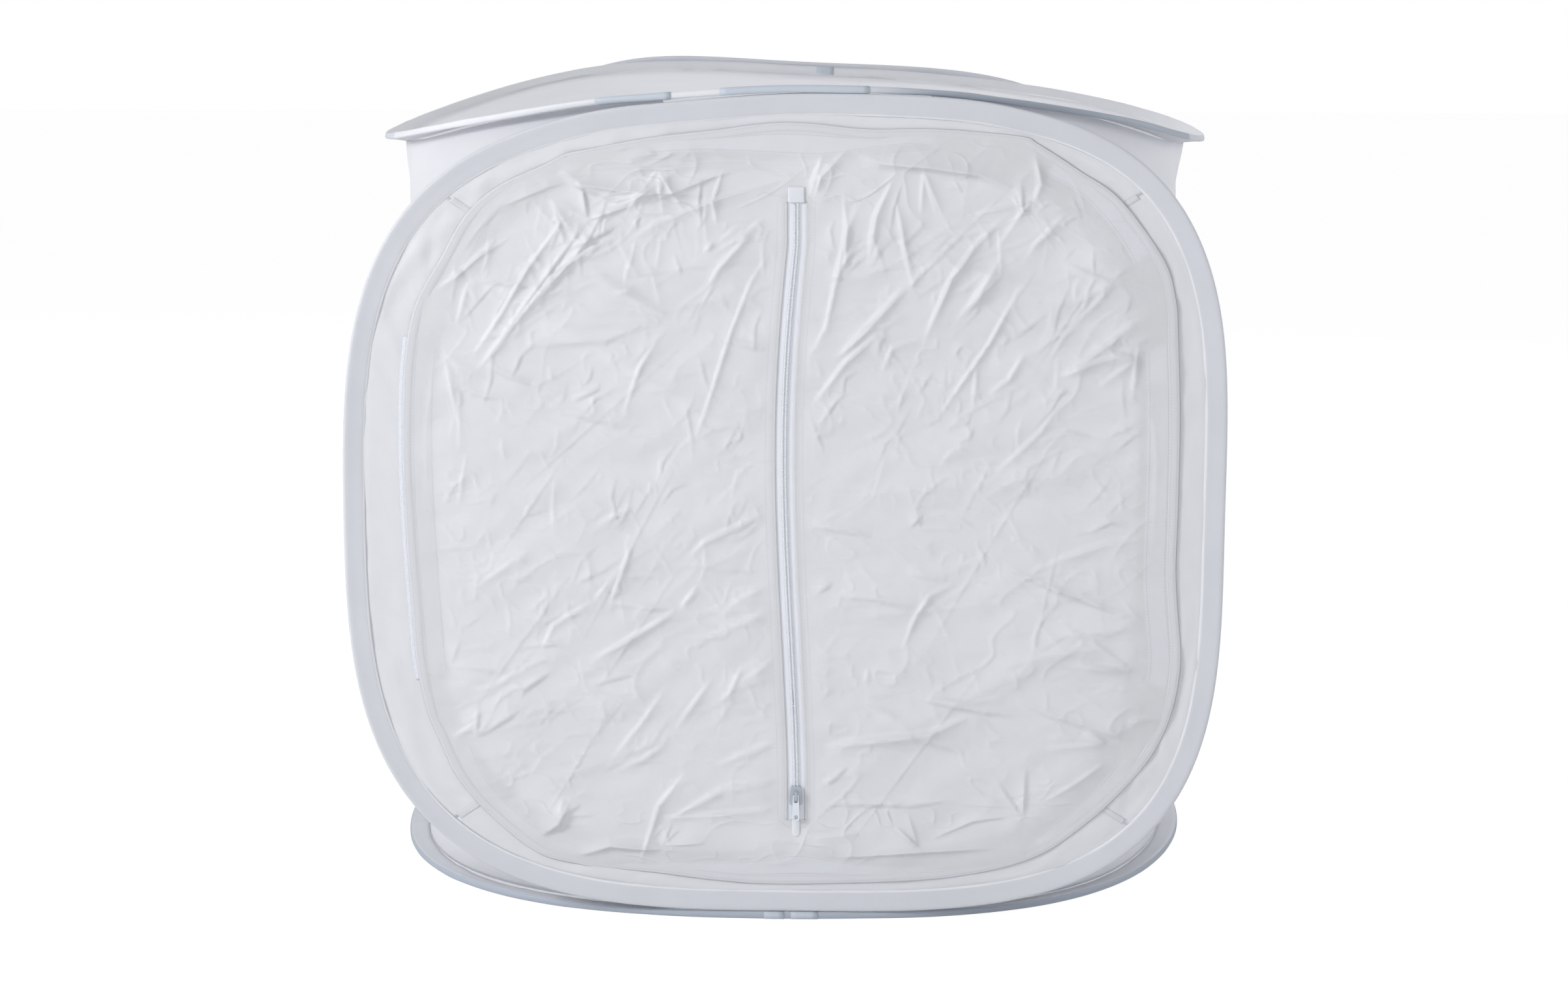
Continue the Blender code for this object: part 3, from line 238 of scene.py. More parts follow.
def smooth_loop(points, per_span=12):
    """A closed curve that passes smoothly through points."""
    points = np.array(points, float)
    before, after, beyond = (np.roll(points, shift, axis=0) for shift in (1, -1, -2))
    spans = []
    for share in np.linspace(0, 1, per_span, endpoint=False):
        spans.append(
            points
            + share * (after - before) / 2
            + share**2 * (before - 2.5 * points + 2 * after - beyond / 2)
            + share**3 * (1.5 * (points - after) + (beyond - before) / 2)
        )
    return np.stack(spans, axis=1).reshape(-1, points.shape[1])


def soft_noise(across, up, seed):
    """Smooth noise from about -1 to 1, with one hill or hollow for each unit."""
    table = np.random.default_rng(seed).uniform(-1, 1, (64, 64))
    low_x, low_y = np.floor(across).astype(int), np.floor(up).astype(int)
    share_x, share_y = across - low_x, up - low_y
    share_x, share_y = eased(share_x), eased(share_y)
    rows = []
    for step in (0, 1):
        first = table[low_x % 64, (low_y + step) % 64]
        second = table[(low_x + 1) % 64, (low_y + step) % 64]
        rows.append(first + (second - first) * share_x)
    return rows[0] + (rows[1] - rows[0]) * share_y


def eased(share):
    """A share from 0 to 1 that starts and ends softly."""
    return share**2 * (3 - 2 * share)


def crumple_ridges(across, up, size, seed, sharp=9):
    """A net of thin ridges, as in cloth that was folded small: high along the lines where
    smooth noise changes sign, and only in patches."""
    warp_x = across + 0.5 * size * soft_noise(across / size / 1.7, up / size / 1.7, seed + 1)
    warp_y = up + 0.5 * size * soft_noise(across / size / 1.9, up / size / 1.9, seed + 2)
    value = soft_noise(warp_x / size, warp_y / size, seed)
    ridge = (1 - np.abs(value)) ** sharp
    patch = np.clip(0.5 + 1.3 * soft_noise(across / size / 2.3, up / size / 2.3, seed + 3), 0, 1)
    return ridge * patch


def loop_noise(along, total, waves, seed):
    """Smooth noise along a closed line, which meets itself at the end."""
    table = np.random.default_rng(seed).uniform(-1, 1, waves)
    place = along / total * waves
    low = np.floor(place).astype(int)
    share = place - low
    share = eased(share)
    return table[low % waves] * (1 - share) + table[(low + 1) % waves] * share


def crease_heights(across, up, creases):
    """The height of a set of creases, each steep on one side and soft on the other."""
    total = np.zeros_like(across)
    for points, height, width in creases:
        line = np.array(points) / 1000
        reach = width * 8 / 1000
        near = (
            (across > line[:, 0].min() - reach)
            & (across < line[:, 0].max() + reach)
            & (up > line[:, 1].min() - reach)
            & (up < line[:, 1].max() + reach)
        )
        x, z = across[near], up[near]
        lengths = np.linalg.norm(np.diff(line, axis=0), axis=1)
        walked = np.concatenate(([0], np.cumsum(lengths)))
        nearest = np.full(x.shape, np.inf)
        side, along = np.zeros_like(x), np.zeros_like(x)
        for index, length in enumerate(lengths):
            run = (line[index + 1] - line[index]) / length
            off_x, off_z = x - line[index, 0], z - line[index, 1]
            here = np.clip(off_x * run[0] + off_z * run[1], 0, length)
            away = np.hypot(off_x - run[0] * here, off_z - run[1] * here)
            closer = away < nearest
            nearest = np.where(closer, away, nearest)
            side = np.where(closer, off_x * run[1] - off_z * run[0], side)
            along = np.where(closer, (walked[index] + here) / walked[-1], along)
        steep = np.exp(-((nearest / (0.00042 * width)) ** 1.3))
        gentle = 0.5 * np.exp(-((nearest / (0.0008 * width)) ** 1.2))
        gentle = gentle + 0.5 * np.exp(-((nearest / (0.0020 * width)) ** 1.4))
        fade = np.sin(np.pi * np.clip(along, 0.02, 0.98)) ** 0.8
        total[near] += height / 1000 * np.where(side > 0, steep, gentle) * fade
    return total


def sweep_frames(path, normals):
    """The direction out of a closed hoop at each point of its path."""
    tangent = np.roll(path, -1, axis=0) - np.roll(path, 1, axis=0)
    outward = np.cross(tangent, normals)
    return outward / np.linalg.norm(outward, axis=1, keepdims=True)


# Small helpers for meshes and materials


def grid_piece(name, points, material, wrap=(False, False), thickness=CLOTH, facts=None):
    """A sheet from rows and columns of points, with its thickness half to each side."""
    rows, columns = points.shape[:2]
    index = np.arange(rows * columns).reshape(rows, columns)
    if wrap[0]:
        index = np.vstack((index, index[:1]))
    if wrap[1]:
        index = np.hstack((index, index[:, :1]))
    corners = (index[:-1, :-1], index[1:, :-1], index[1:, 1:], index[:-1, 1:])
    faces = np.stack(corners, axis=-1).reshape(-1, 4)
    mesh = bpy.data.meshes.new(name)
    mesh.from_pydata(points.reshape(-1, 3).tolist(), [], faces.tolist())
    for fact, values in (facts or {}).items():
        attribute = mesh.attributes.new(fact, "FLOAT", "POINT")
        attribute.data.foreach_set("value", np.broadcast_to(values, (rows, columns)).ravel())
    return add_piece(name, mesh, material, thickness)


def add_piece(name, mesh, material, thickness=0.0):
    mesh.polygons.foreach_set("use_smooth", np.ones(len(mesh.polygons), bool))
    mesh.materials.append(material)
    piece = bpy.data.objects.new(name, mesh)
    bpy.context.scene.collection.objects.link(piece)
    if thickness:
        solid = piece.modifiers.new("thickness", "SOLIDIFY")
        solid.thickness = thickness
        solid.offset = 0.0
    return piece


def bars_piece(name, points, material):
    """Closed bars from an array of points: for each bar, its stations of points round it."""
    bars, stations, around = points.shape[:3]
    index = np.arange(stations * around).reshape(stations, around)
    index = np.hstack((index, index[:, :1]))
    corners = (index[:-1, :-1], index[1:, :-1], index[1:, 1:], index[:-1, 1:])
    sides = np.stack(corners, axis=-1).reshape(-1, 4)
    starts = np.arange(bars) * stations * around
    faces = (sides[None] + starts[:, None, None]).reshape(-1, 4).tolist()
    for start in starts.tolist():
        faces.append(list(range(start, start + around))[::-1])
        last = start + (stations - 1) * around
        faces.append(list(range(last, last + around)))
    mesh = bpy.data.meshes.new(name)
    mesh.from_pydata(points.reshape(-1, 3).tolist(), [], faces)
    return add_piece(name, mesh, material)


def settle(piece, body, *nodes, slot=None):
    """Hangs a piece on its body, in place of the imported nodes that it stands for."""
    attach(piece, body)
    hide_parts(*nodes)
    return piece


def linear(code):
    """A colour written as sRGB hex, in the linear values that shaders take."""
    channels = [int(code[start : start + 2], 16) / 255 for start in (1, 3, 5)]
    return (
        *(c / 12.92 if c <= 0.04045 else ((c + 0.055) / 1.055) ** 2.4 for c in channels),
        1.0,
    )


def add_node(tree, kind, settings=None, links=None):
    node = tree.nodes.new(kind)
    for key, value in (settings or {}).items():
        if isinstance(key, int) or key in node.inputs:
            node.inputs[key].default_value = value
        else:
            setattr(node, key, value)
    for key, socket in (links or {}).items():
        tree.links.new(socket, node.inputs[key])
    return node


def blank_material(name, roughness, sheen=0.0, metallic=0.0):
    material = bpy.data.materials.new(name)
    material.use_nodes = True
    shader = material.node_tree.nodes["Principled BSDF"]
    shader.inputs["Roughness"].default_value = roughness
    shader.inputs["Sheen Weight"].default_value = sheen
    shader.inputs["Metallic"].default_value = metallic
    return material, material.node_tree, shader


# Wave textures repeat every 0.314 of a unit at scale 1
WAVE_UNIT = math.tau / 20


def woven_cloth(
    name,
    colour,
    shade,
    thread_mm,
    crumple_mm=0.25,
    ridge_mm=0.3,
    rows=(),
    slit_rows=(),
    tape=None,
    seam_highlight=None,
    wire_and_shade_from=None,
    through=0.42,
):
    """White woven cloth: a fine even weave, soft mottling and small crumples, and a little
    light that passes through it.

    The yarn of such cloth is 0.1 to 0.3 mm, too fine to show here, so it is drawn coarser.
    rows and slit_rows give the distances from the edges, in metres, of rows of lockstitch 3 mm
    long, drawn darker as painted shade in the stitches. tape is the colour of tape seen through
    the cloth, seam_highlight the width of a turned edge, painted paler as a painted highlight, and
    wire_and_shade_from where the outer edge starts to be painted darker: partly the wire showing
    through, partly painted shade.
    """
    material, tree, shader = blank_material(name, 0.5, sheen=0.1)
    place = add_node(tree, "ShaderNodeTexCoord").outputs["Object"]
    mottle = add_node(tree, "ShaderNodeTexNoise", {"Scale": 14.0, "Detail": 3.0}, {"Vector": place})
    colour_out = blend_colour(tree, mottle.outputs["Fac"], linear(colour), linear(shade))
    scale = WAVE_UNIT / (thread_mm / 1000)
    bands = [
        add_node(
            tree,
            "ShaderNodeTexWave",
            {"Scale": scale, "Distortion": 0.6, "Detail": 0.0, "bands_direction": direction},
            {"Vector": place},
        )
        for direction in "XZ"
    ]
    threads = do_math(tree, "MAXIMUM", bands[0].outputs["Fac"], bands[1].outputs["Fac"])
    crumple = add_node(
        tree, "ShaderNodeTexNoise", {"Scale": 90.0, "Detail": 4.0, "Distortion": 0.8}, {"Vector": place}
    )
    stretched = add_node(
        tree,
        "ShaderNodeMapping",
        {"Scale": (0.55, 0.8, 1.5), "Rotation": (0.0, 0.5, 0.0)},
        {"Vector": place},
    )
    ridges = add_node(
        tree,
        "ShaderNodeTexNoise",
        {"noise_type": "RIDGED_MULTIFRACTAL", "Scale": 34.0, "Detail": 3.0, "Distortion": 0.7},
        {"Vector": stretched.outputs[0]},
    )
    normal = add_bump(tree, threads, 0.00008, 0.25)
    normal = add_bump(tree, crumple.outputs["Fac"], crumple_mm / 1000, 0.5, normal)
    normal = add_bump(tree, ridges.outputs["Fac"], ridge_mm / 1000, 0.7, normal)
    edge = fact(tree, "edge")
    if tape:
        held = do_math(tree, "GREATER_THAN", fact(tree, "held"), 0.5)
        soft_edge = add_node(
            tree,
            "ShaderNodeMapRange",
            {"From Min": 0.0275, "From Max": 0.0300, "To Min": 1.0, "To Max": 0.0},
            {"Value": edge},
        )
        inside = do_math(tree, "MULTIPLY", soft_edge.outputs[0], fact(tree, "tone"))
        colour_out = blend_colour(tree, do_math(tree, "MULTIPLY", inside, 0.45), colour_out, linear(tape))
        normal = add_bump(tree, inside, 0.0003, 0.6, normal)
    # A paler line painted along the seam: a painted highlight on the channel's turned edge.
    if seam_highlight:
        turned = between(tree, edge, -0.003, seam_highlight)
        colour_out = blend_colour(tree, turned, colour_out, linear("#EFF0F4"))
    # Painted shade: the channel's outer edge is painted darker, partly the wire seen through the cloth and
    # partly shade where the edge turns away from the light.
    if wire_and_shade_from:
        wire = add_node(
            tree,
            "ShaderNodeMapRange",
            {"From Min": wire_and_shade_from, "From Max": wire_and_shade_from + 0.0016, "To Max": 0.85},
            {"Value": edge},
        )
        wire = do_math(tree, "MULTIPLY", wire.outputs[0], fact(tree, "steel"))
        colour_out = blend_colour(tree, wire, colour_out, linear("#B4BECB"))
    # The stitch rows are painted a little darker than the cloth: painted shade where the stitches pull it
    # in.
    if rows:
        mask = stitch_mask(tree, edge, rows)
        if tape:
            mask = do_math(tree, "MULTIPLY", mask, held)
        if slit_rows:
            mask = do_math(tree, "MAXIMUM", mask, stitch_mask(tree, fact(tree, "slit"), slit_rows))
        colour_out = blend_colour(tree, mask, colour_out, linear("#DBDDE2"))
        normal = add_bump(tree, mask, -0.0002, 0.6, normal)
    tree.links.new(colour_out, shader.inputs["Base Color"])
    tree.links.new(normal, shader.inputs["Normal"])
    glow = add_node(
        tree, "ShaderNodeBsdfTranslucent", {}, {"Color": colour_out, "Normal": normal}
    )
    both = add_node(tree, "ShaderNodeMixShader", {0: through})
    tree.links.new(shader.outputs[0], both.inputs[1])
    tree.links.new(glow.outputs[0], both.inputs[2])
    tree.links.new(both.outputs[0], tree.nodes["Material Output"].inputs["Surface"])
    return material


def fact(tree, name):
    """A value that the mesh carries at each point."""
    return add_node(tree, "ShaderNodeAttribute", {"attribute_name": name}).outputs["Fac"]


def do_math(tree, operation, first, second):
    """A math node's result. Either input may be a socket or a number."""
    node = add_node(tree, "ShaderNodeMath", {"operation": operation})
    for index, value in enumerate((first, second)):
        if isinstance(value, bpy.types.NodeSocket):
            tree.links.new(value, node.inputs[index])
        else:
            node.inputs[index].default_value = value
    return node.outputs[0]


def between(tree, value, low, high):
    above = do_math(tree, "GREATER_THAN", value, low)
    return do_math(tree, "MULTIPLY", above, do_math(tree, "LESS_THAN", value, high))


def blend_colour(tree, share, first, second):
    """One colour over another by a share. Either colour may be a socket."""
    node = add_node(tree, "ShaderNodeMix", {"data_type": "RGBA"})
    tree.links.new(share, node.inputs[0])
    for index, value in ((6, first), (7, second)):
        if isinstance(value, bpy.types.NodeSocket):
            tree.links.new(value, node.inputs[index])
        else:
            node.inputs[index].default_value = value
    return node.outputs[2]


def add_bump(tree, height, distance, strength, normal=None):
    node = add_node(
        tree,
        "ShaderNodeBump",
        {"Strength": strength, "Distance": abs(distance), "invert": distance < 0},
        {"Height": height},
    )
    if normal:
        tree.links.new(normal, node.inputs["Normal"])
    return node.outputs["Normal"]


def stitch_mask(tree, edge, rows):
    """1 on a stitch and 0 beside it, from how far a point lies from the edge and along it."""
    total = 0.0
    for row in rows:
        away = do_math(tree, "ABSOLUTE", do_math(tree, "SUBTRACT", edge, row), 0.0)
        total = do_math(tree, "ADD", do_math(tree, "LESS_THAN", away, 0.00035), total)
    part = do_math(tree, "FRACT", do_math(tree, "DIVIDE", fact(tree, "along"), 0.003), 0.0)
    return do_math(tree, "MULTIPLY", total, do_math(tree, "LESS_THAN", part, 0.68))


def pile_tape(name, colour, shade, pile_mm):
    """Hook or loop tape: a dense nylon pile, seen as a fine dark and light speckle."""
    material, tree, shader = blank_material(name, 0.9, sheen=0.05)
    place = add_node(tree, "ShaderNodeTexCoord").outputs["Object"]
    pile = add_node(tree, "ShaderNodeTexVoronoi", {"Scale": 1000 / pile_mm}, {"Vector": place})
    ramp = add_node(
        tree, "ShaderNodeMix", {"data_type": "RGBA"}, {"Factor": pile.outputs["Distance"]}
    )
    ramp.inputs[6].default_value = linear(colour)
    ramp.inputs[7].default_value = linear(shade)
    bump = add_node(
        tree,
        "ShaderNodeBump",
        {"Strength": 0.8, "Distance": 0.0004},
        {"Height": pile.outputs["Distance"]},
    )
    tree.links.new(ramp.outputs[2], shader.inputs["Base Color"])
    tree.links.new(bump.outputs["Normal"], shader.inputs["Normal"])
    return material


def moulded_nylon(name, colour, shade):
    """Nylon monofilament: smooth and a little glossy, with soft variation."""
    material, tree, shader = blank_material(name, 0.38)
    place = add_node(tree, "ShaderNodeTexCoord").outputs["Object"]
    mottle = add_node(tree, "ShaderNodeTexNoise", {"Scale": 220.0, "Detail": 2.0}, {"Vector": place})
    tone = add_node(
        tree, "ShaderNodeMix", {"data_type": "RGBA"}, {"Factor": mottle.outputs["Fac"]}
    )
    tone.inputs[6].default_value = linear(colour)
    tone.inputs[7].default_value = linear(shade)
    tree.links.new(tone.outputs[2], shader.inputs["Base Color"])
    return material


def worn_metal(name, colour, shade, roughness, metallic, grain_mm):
    """Metal with a fine cast or rolled grain and slightly uneven gloss."""
    material, tree, shader = blank_material(name, roughness, metallic=metallic)
    place = add_node(tree, "ShaderNodeTexCoord").outputs["Object"]
    grain = add_node(
        tree, "ShaderNodeTexNoise", {"Scale": 1000 / grain_mm, "Detail": 3.0}, {"Vector": place}
    )
    tone = add_node(
        tree, "ShaderNodeMix", {"data_type": "RGBA"}, {"Factor": grain.outputs["Fac"]}
    )
    tone.inputs[6].default_value = linear(colour)
    tone.inputs[7].default_value = linear(shade)
    bump = add_node(
        tree, "ShaderNodeBump", {"Strength": 0.3, "Distance": 0.0001}, {"Height": grain.outputs["Fac"]}
    )
    tree.links.new(tone.outputs[2], shader.inputs["Base Color"])
    tree.links.new(bump.outputs["Normal"], shader.inputs["Normal"])
    return material


COVER_CLOTH = woven_cloth(
    "white_polyester_taffeta_cover",
    "#E5E6E9",
    "#E0E1E4",
    1.1,
    ridge_mm=2.2,
    rows=(0.0102, 0.0268),
    slit_rows=(0.0030, 0.0092),
    tape="#EEF0F6",
)
# The panels are the cover's taffeta written lighter: painted light for cloth that lies in less light.
PANEL_CLOTH_PAINTED_LIGHTER = woven_cloth("white_polyester_taffeta_panel_painted_lighter", "#F1F1F3", "#EBECEF", 1.1, through=0.60)
FLANGE_CLOTH = woven_cloth("white_polyester_taffeta_flange", "#E5E6E9", "#E0E1E5", 1.1)
CHANNEL_CLOTH = woven_cloth(
    "white_polyester_channel", "#E2E4E9", "#DDDFE5", 1.0, crumple_mm=0.15, seam_highlight=0.0016
)
# Its outer edge is painted darker: partly the wire seen through, partly painted shade.
BELT_CLOTH = woven_cloth(
    "blue_white_polyester_channel",
    "#EFF0F4",
    "#E8EAEE",
    1.0,
    crumple_mm=0.15,
    seam_highlight=0.0024,
    wire_and_shade_from=0.0172,
)
BINDING_TAPE = woven_cloth(
    "white_polyester_binding_tape",
    "#E6E7EB",
    "#E1E2E7",
    1.3,
    crumple_mm=0.1,
    rows=(0.0018, 0.0068),
)
PATCH_CLOTH = woven_cloth("white_polyester_patch", "#D6DDE5", "#CFD7E0", 1.0, crumple_mm=0.1)
# Zip tape written lighter than the cover's cloth: painted light against the shade in the slit.
ZIP_TAPE_PAINTED_LIGHTER = woven_cloth("white_polyester_zip_tape_painted_lighter", "#EEF0F4", "#E8EAEF", 1.0, crumple_mm=0.05)
# White loop tape written grey: painted shade on the strip where it shows past the cover's edge.
LOOP_TAPE_PAINTED_DARKER = pile_tape("white_nylon_loop_tape_painted_darker", "#CDD0D8", "#BCC0CA", 0.9)
HOOK_TAPE = pile_tape("white_nylon_hook_tape", "#D2D6E2", "#BCC1CF", 1.0)
COIL_NYLON = moulded_nylon("extruded_nylon_zip_coil", "#E2E5EB", "#D6DAE2")
SPRING_STEEL = worn_metal("blued_spring_steel_wire", "#A9ABAE", "#8E9093", 0.35, 1.0, 0.6)
PLATED_STEEL = worn_metal("zinc_plated_steel_ferrule", "#C9C9C4", "#B4B4AF", 0.3, 1.0, 0.5)
SLIDER_ZINC = worn_metal("grey_painted_zinc_slider", "#A7AEB8", "#969DA8", 0.34, 0.35, 0.7)
PULL_ZINC = worn_metal("pale_painted_zinc_pull", "#D3D8E0", "#C4CAD3", 0.30, 0.2, 0.7)


# Where the fabric lies


def droop(across):
    """How far the top hoop has bent down at a distance from its middle."""
    bent = np.maximum(0, np.abs(across) - LEVEL_WIDTH / 2)
    return TOP_DROOP * (bent / (TOP_WIDTH / 2 - LEVEL_WIDTH / 2)) ** 2


def droop_slope(across):
    bent = np.maximum(0, np.abs(across) - LEVEL_WIDTH / 2)
    slope = 2 * TOP_DROOP * bent / (TOP_WIDTH / 2 - LEVEL_WIDTH / 2) ** 2
    return np.sign(across) * slope


def lean(height):
    """How far the front hoop's middle stands to the right at a height: it is pulled a little
    out of true, so its left side bulges low and its right side high."""
    return 0.0095 * ((height - 0.36) / 0.30) ** 2 - 0.0015


def twist(across, deep):
    """The back of the tent's top has sprung up on the left and down on the right."""
    back = np.clip((deep + 0.30) / 0.62, 0, 1)
    left = 0.0085 * np.exp(-(((across + 0.25) / 0.14) ** 2))
    right = -0.0100 * np.exp(-(((across - 0.17) / 0.20) ** 2))
    return eased(back) * (left + right)


# How far the front's upper edge has sprung up at distances from its middle
FRONT_ARCH = (
    (-0.405, -0.0020), (-0.264, -0.0030), (-0.140, 0.0000), (0.010, 0.0068), (0.130, 0.0055),
    (0.230, 0.0032), (0.320, 0.0034), (0.405, -0.0010),
)


def arch(across):
    places, lifts = np.array(FRONT_ARCH).T
    index = np.clip(np.searchsorted(places, across) - 1, 0, len(places) - 2)
    share = np.clip((across - places[index]) / (places[index + 1] - places[index]), 0, 1)
    share = eased(share)
    return lifts[index] + (lifts[index + 1] - lifts[index]) * share


def front_points(flat, layer=0.0):
    """The front hoop's plane. Its lowest part has sunk onto the floor hoop."""
    up = MIDDLE_Z + flat[..., 1]
    low = up - 0.0024 * np.clip((MIDDLE_Z - up) / 0.372, 0, 1) ** 4
    low = low + arch(flat[..., 0]) * np.clip((up - 0.45) / 0.28, 0, 1) ** 2
    return np.stack((flat[..., 0] + lean(up), np.full_like(up, -HOOP_Y - layer), low), axis=-1)


def back_points(flat, layer=0.0):
    up = MIDDLE_Z + flat[..., 1]
    sunk = 0.0036 * np.exp(-(((flat[..., 0] + 0.01) / 0.15) ** 2))
    up = up + (0.0065 - sunk + twist(flat[..., 0], 0.4)) * np.clip(up / 0.75, 0, 1) ** 4
    return np.stack((flat[..., 0], np.full_like(up, HOOP_Y + layer), up), axis=-1)


def curl(deep):
    """How steeply the top's channel tips inward, as a sine: not at the front, most at the
    sides and back."""
    away = np.clip((deep + 0.37) / 0.16, 0, 1)
    return TOP_CURL * eased(away)


def top_points(flat, rise=0.0):
    """The top hoop lies bent down to its sides, and a little lower inside the back hoop."""
    across, deep = flat[..., 0], flat[..., 1]
    reach = np.abs(across / (TOP_WIDTH / 2)) ** LEVEL_POWER
    reach = (reach + np.abs(deep / (PLAN_DEPTH / 2)) ** LEVEL_POWER) ** (1 / LEVEL_POWER)
    inset = np.clip((1 - reach) * 0.4, 0, None)
    rise = rise - curl(deep) * (inset - np.maximum(inset - 0.0225, 0))
    back = np.clip(deep / 0.4, 0, 1) ** 3
    front = np.clip((-deep - 0.08) / 0.29, 0, 1)
    lift = arch(across) * eased(front)
    height = TOP_LIE - droop(across) - 0.007 * back + twist(across, deep) + lift + rise
    return np.stack((across, deep - 0.010 * back, height), axis=-1)


def drawn_in(across, deep):
    """How far the floor hoop's right front corner is drawn in."""
    out = np.clip((across - 0.17) / 0.20, 0, 1)
    front = np.clip((-deep - 0.02) / 0.22, 0, 1)
    return CORNER_DRAWN_IN * eased(out) * eased(front)


def bottom_points(flat, rise=0.0):
    height = np.full_like(flat[..., 0], BOTTOM_LIE) + rise
    across, deep = flat[..., 0], flat[..., 1]
    return np.stack((across - drawn_in(across, deep), deep, height), axis=-1)


def hoop(width, height, power, place, normal, steps=420):
    """A hoop's path, the way out of it, the way across it and the distance along it."""
    dense = rounded_loop(width, height, power, np.linspace(0, math.tau, 3000, endpoint=False))
    flat, along = even_loop(dense, steps)
    path = place(flat)
    normals = normal(path)
    return {"path": path, "out": sweep_frames(path, normals), "across": normals, "along": along}


def level_normals(path):
    return np.tile((0.0, 0.0, 1.0), (len(path), 1))


def bent_normals(path):
    slope = droop_slope(path[:, 0])
    normals = np.column_stack((slope, np.zeros_like(slope), np.ones_like(slope)))
    return normals / np.linalg.norm(normals, axis=1, keepdims=True)


def upright_normals(path):
    return np.tile((0.0, -1.0, 0.0), (len(path), 1))


# A channel's ply from the seam at its inner edge to its outer edge: how far in, and how far up
CHANNEL_HALF = (
    (-0.0199, 0.0001),
    (-0.0192, 0.0007),
    (-0.0160, 0.0010),
    (-0.0120, 0.0014),
    (-0.0080, 0.0019),
    (-0.0048, 0.0025),
    (-0.0024, 0.0028),
    (-0.0009, 0.0026),
    (-0.0003, 0.0014),
)


def top_wire_and_shade(path):
    """How dark the top channel's outer edge is painted, partly the wire showing through and partly
    painted shade: most at the right of its front.
    """
    across, front = path[:, 0], path[:, 1] < -0.2
    return np.where(front, np.clip((across - 0.05) / 0.08, 0.0, 1), 0.35)


# The bottom channel's outer edge is painted dark all round: partly the wire seen through, partly painted
# shade.
def bottom_wire_and_shade(path):
    return np.ones(len(path))


def channel_piece(name, rim, body, material, nodes, seed, steel=None):
    """A sewn channel round a hoop, puckered along its seam."""
    half = np.array(CHANNEL_HALF)
    line = np.vstack((half, half[::-1] * (1, -1)))
    total = rim["along"][-1] + rim["along"][1]
    near_seam = np.clip(-line[:, 0] / CHANNEL_DEPTH, 0, 1) ** 1.5
    wave = loop_noise(rim["along"], total, 150, seed)[:, None]
    slow = loop_noise(rim["along"], total, 40, seed + 1)[:, None]
    shift = (0.0005 * wave + 0.0008 * slow) * near_seam
    swell = 1 + 0.10 * loop_noise(rim["along"], total, 90, seed + 2)[:, None]
    points = (
        rim["path"][:, None]
        + rim["out"][:, None] * line[None, :, :1]
        + rim["across"][:, None] * (line[:, 1] * swell + shift)[..., None]
    )
    facts = {"edge": line[:, 0] + CHANNEL_DEPTH, "along": rim["along"][:, None]}
    # steel sets how dark the outer edge is painted: the wire seen through, and painted shade.
    if steel is not None:
        facts["steel"] = steel(rim["path"])[:, None]
    piece = grid_piece(name, points, material, (True, False), 0.0006, facts)
    settle(piece, body, *nodes, slot="white_channel_fabric")
    return piece


def rim_sheet(name, rim, window, section, body, material, nodes, thickness, slot):
    """A strip that follows part of a hoop: section holds points of (outward, across)."""
    count = len(rim["path"])
    chosen = np.arange(window[0], window[1]) % count
    line = np.array(section)
    points = (
        rim["path"][chosen][:, None]
        + rim["out"][chosen][:, None] * line[None, :, :1]
        + rim["across"][chosen][:, None] * line[None, :, 1:]
    )
    piece = grid_piece(name, points, material, thickness=thickness)
    settle(piece, body, *nodes, slot=slot)
    return piece


def patch_piece(name, rim, place, on_front, length, over_crest, body):
    """A patch sewn over a channel's outer edge where the channel was closed."""
    half = np.array(CHANNEL_HALF)[::-1]
    lift = 0.0005
    upper = [(out + lift * 0.5, up + lift) for out, up in half[: 7 if over_crest else 4]]
    edge = [(0.0004, 0.0010), (0.0004, -0.0010)]
    lower = [(out + lift * 0.5, -up - lift) for out, up in half[:4]]
    section = upper[::-1] + edge + lower
    path = rim["path"]
    side = path[:, 1] < 0 if on_front else path[:, 1] > 0
    near = np.where(side & (np.abs(path[:, 0] - place) < length / 2))[0]
    window = (near.min() - 1, near.max() + 2)
    rim_sheet(
        f"{name}_cloth", rim, window, section, body, PATCH_CLOTH, [name], 0.0004,
        "white_patch_fabric",
    )


def steel_pieces(word, rim, body, join):
    """The spring-steel strip in a channel, standing on edge, and the ferrule on its ends."""
    count = len(rim["path"])
    start = int(round(join / 360 * count))
    inner = rim["path"] + rim["out"] * -0.0028
    section = np.array(((0.0006, -0.0021), (0.0006, 0.0021), (-0.0006, 0.0021), (-0.0006, -0.0021)))
    for kind, window, grow, material in (
        ("wire", range(start, start + count), 0.0, SPRING_STEEL),
        ("ferrule", range(start - 3, start + 4), 0.0004, PLATED_STEEL),
    ):
        chosen = np.array(window) % count
        line = section + np.sign(section) * grow
        if grow:
            line[:, 1] = np.sign(line[:, 1]) * 0.00225
        points = (
            inner[chosen][:, None]
            + rim["out"][chosen][:, None] * line[None, :, :1]
            + rim["across"][chosen][:, None] * line[None, :, 1:]
        )
        if kind == "wire":
            piece = bars_piece(f"{word}_spring_wire", points[None], material)
        else:
            piece = grid_piece(f"{word}_wire_ferrule", points, material, (False, True), 0.0003)
        slot = "spring_steel" if kind == "wire" else "plated_ferrule"
        settle(piece, body, f"{word}_{kind}", slot=slot)
        piece.data.polygons.foreach_set("use_smooth", np.zeros(len(piece.data.polygons), bool))


# The four hoops and their panels


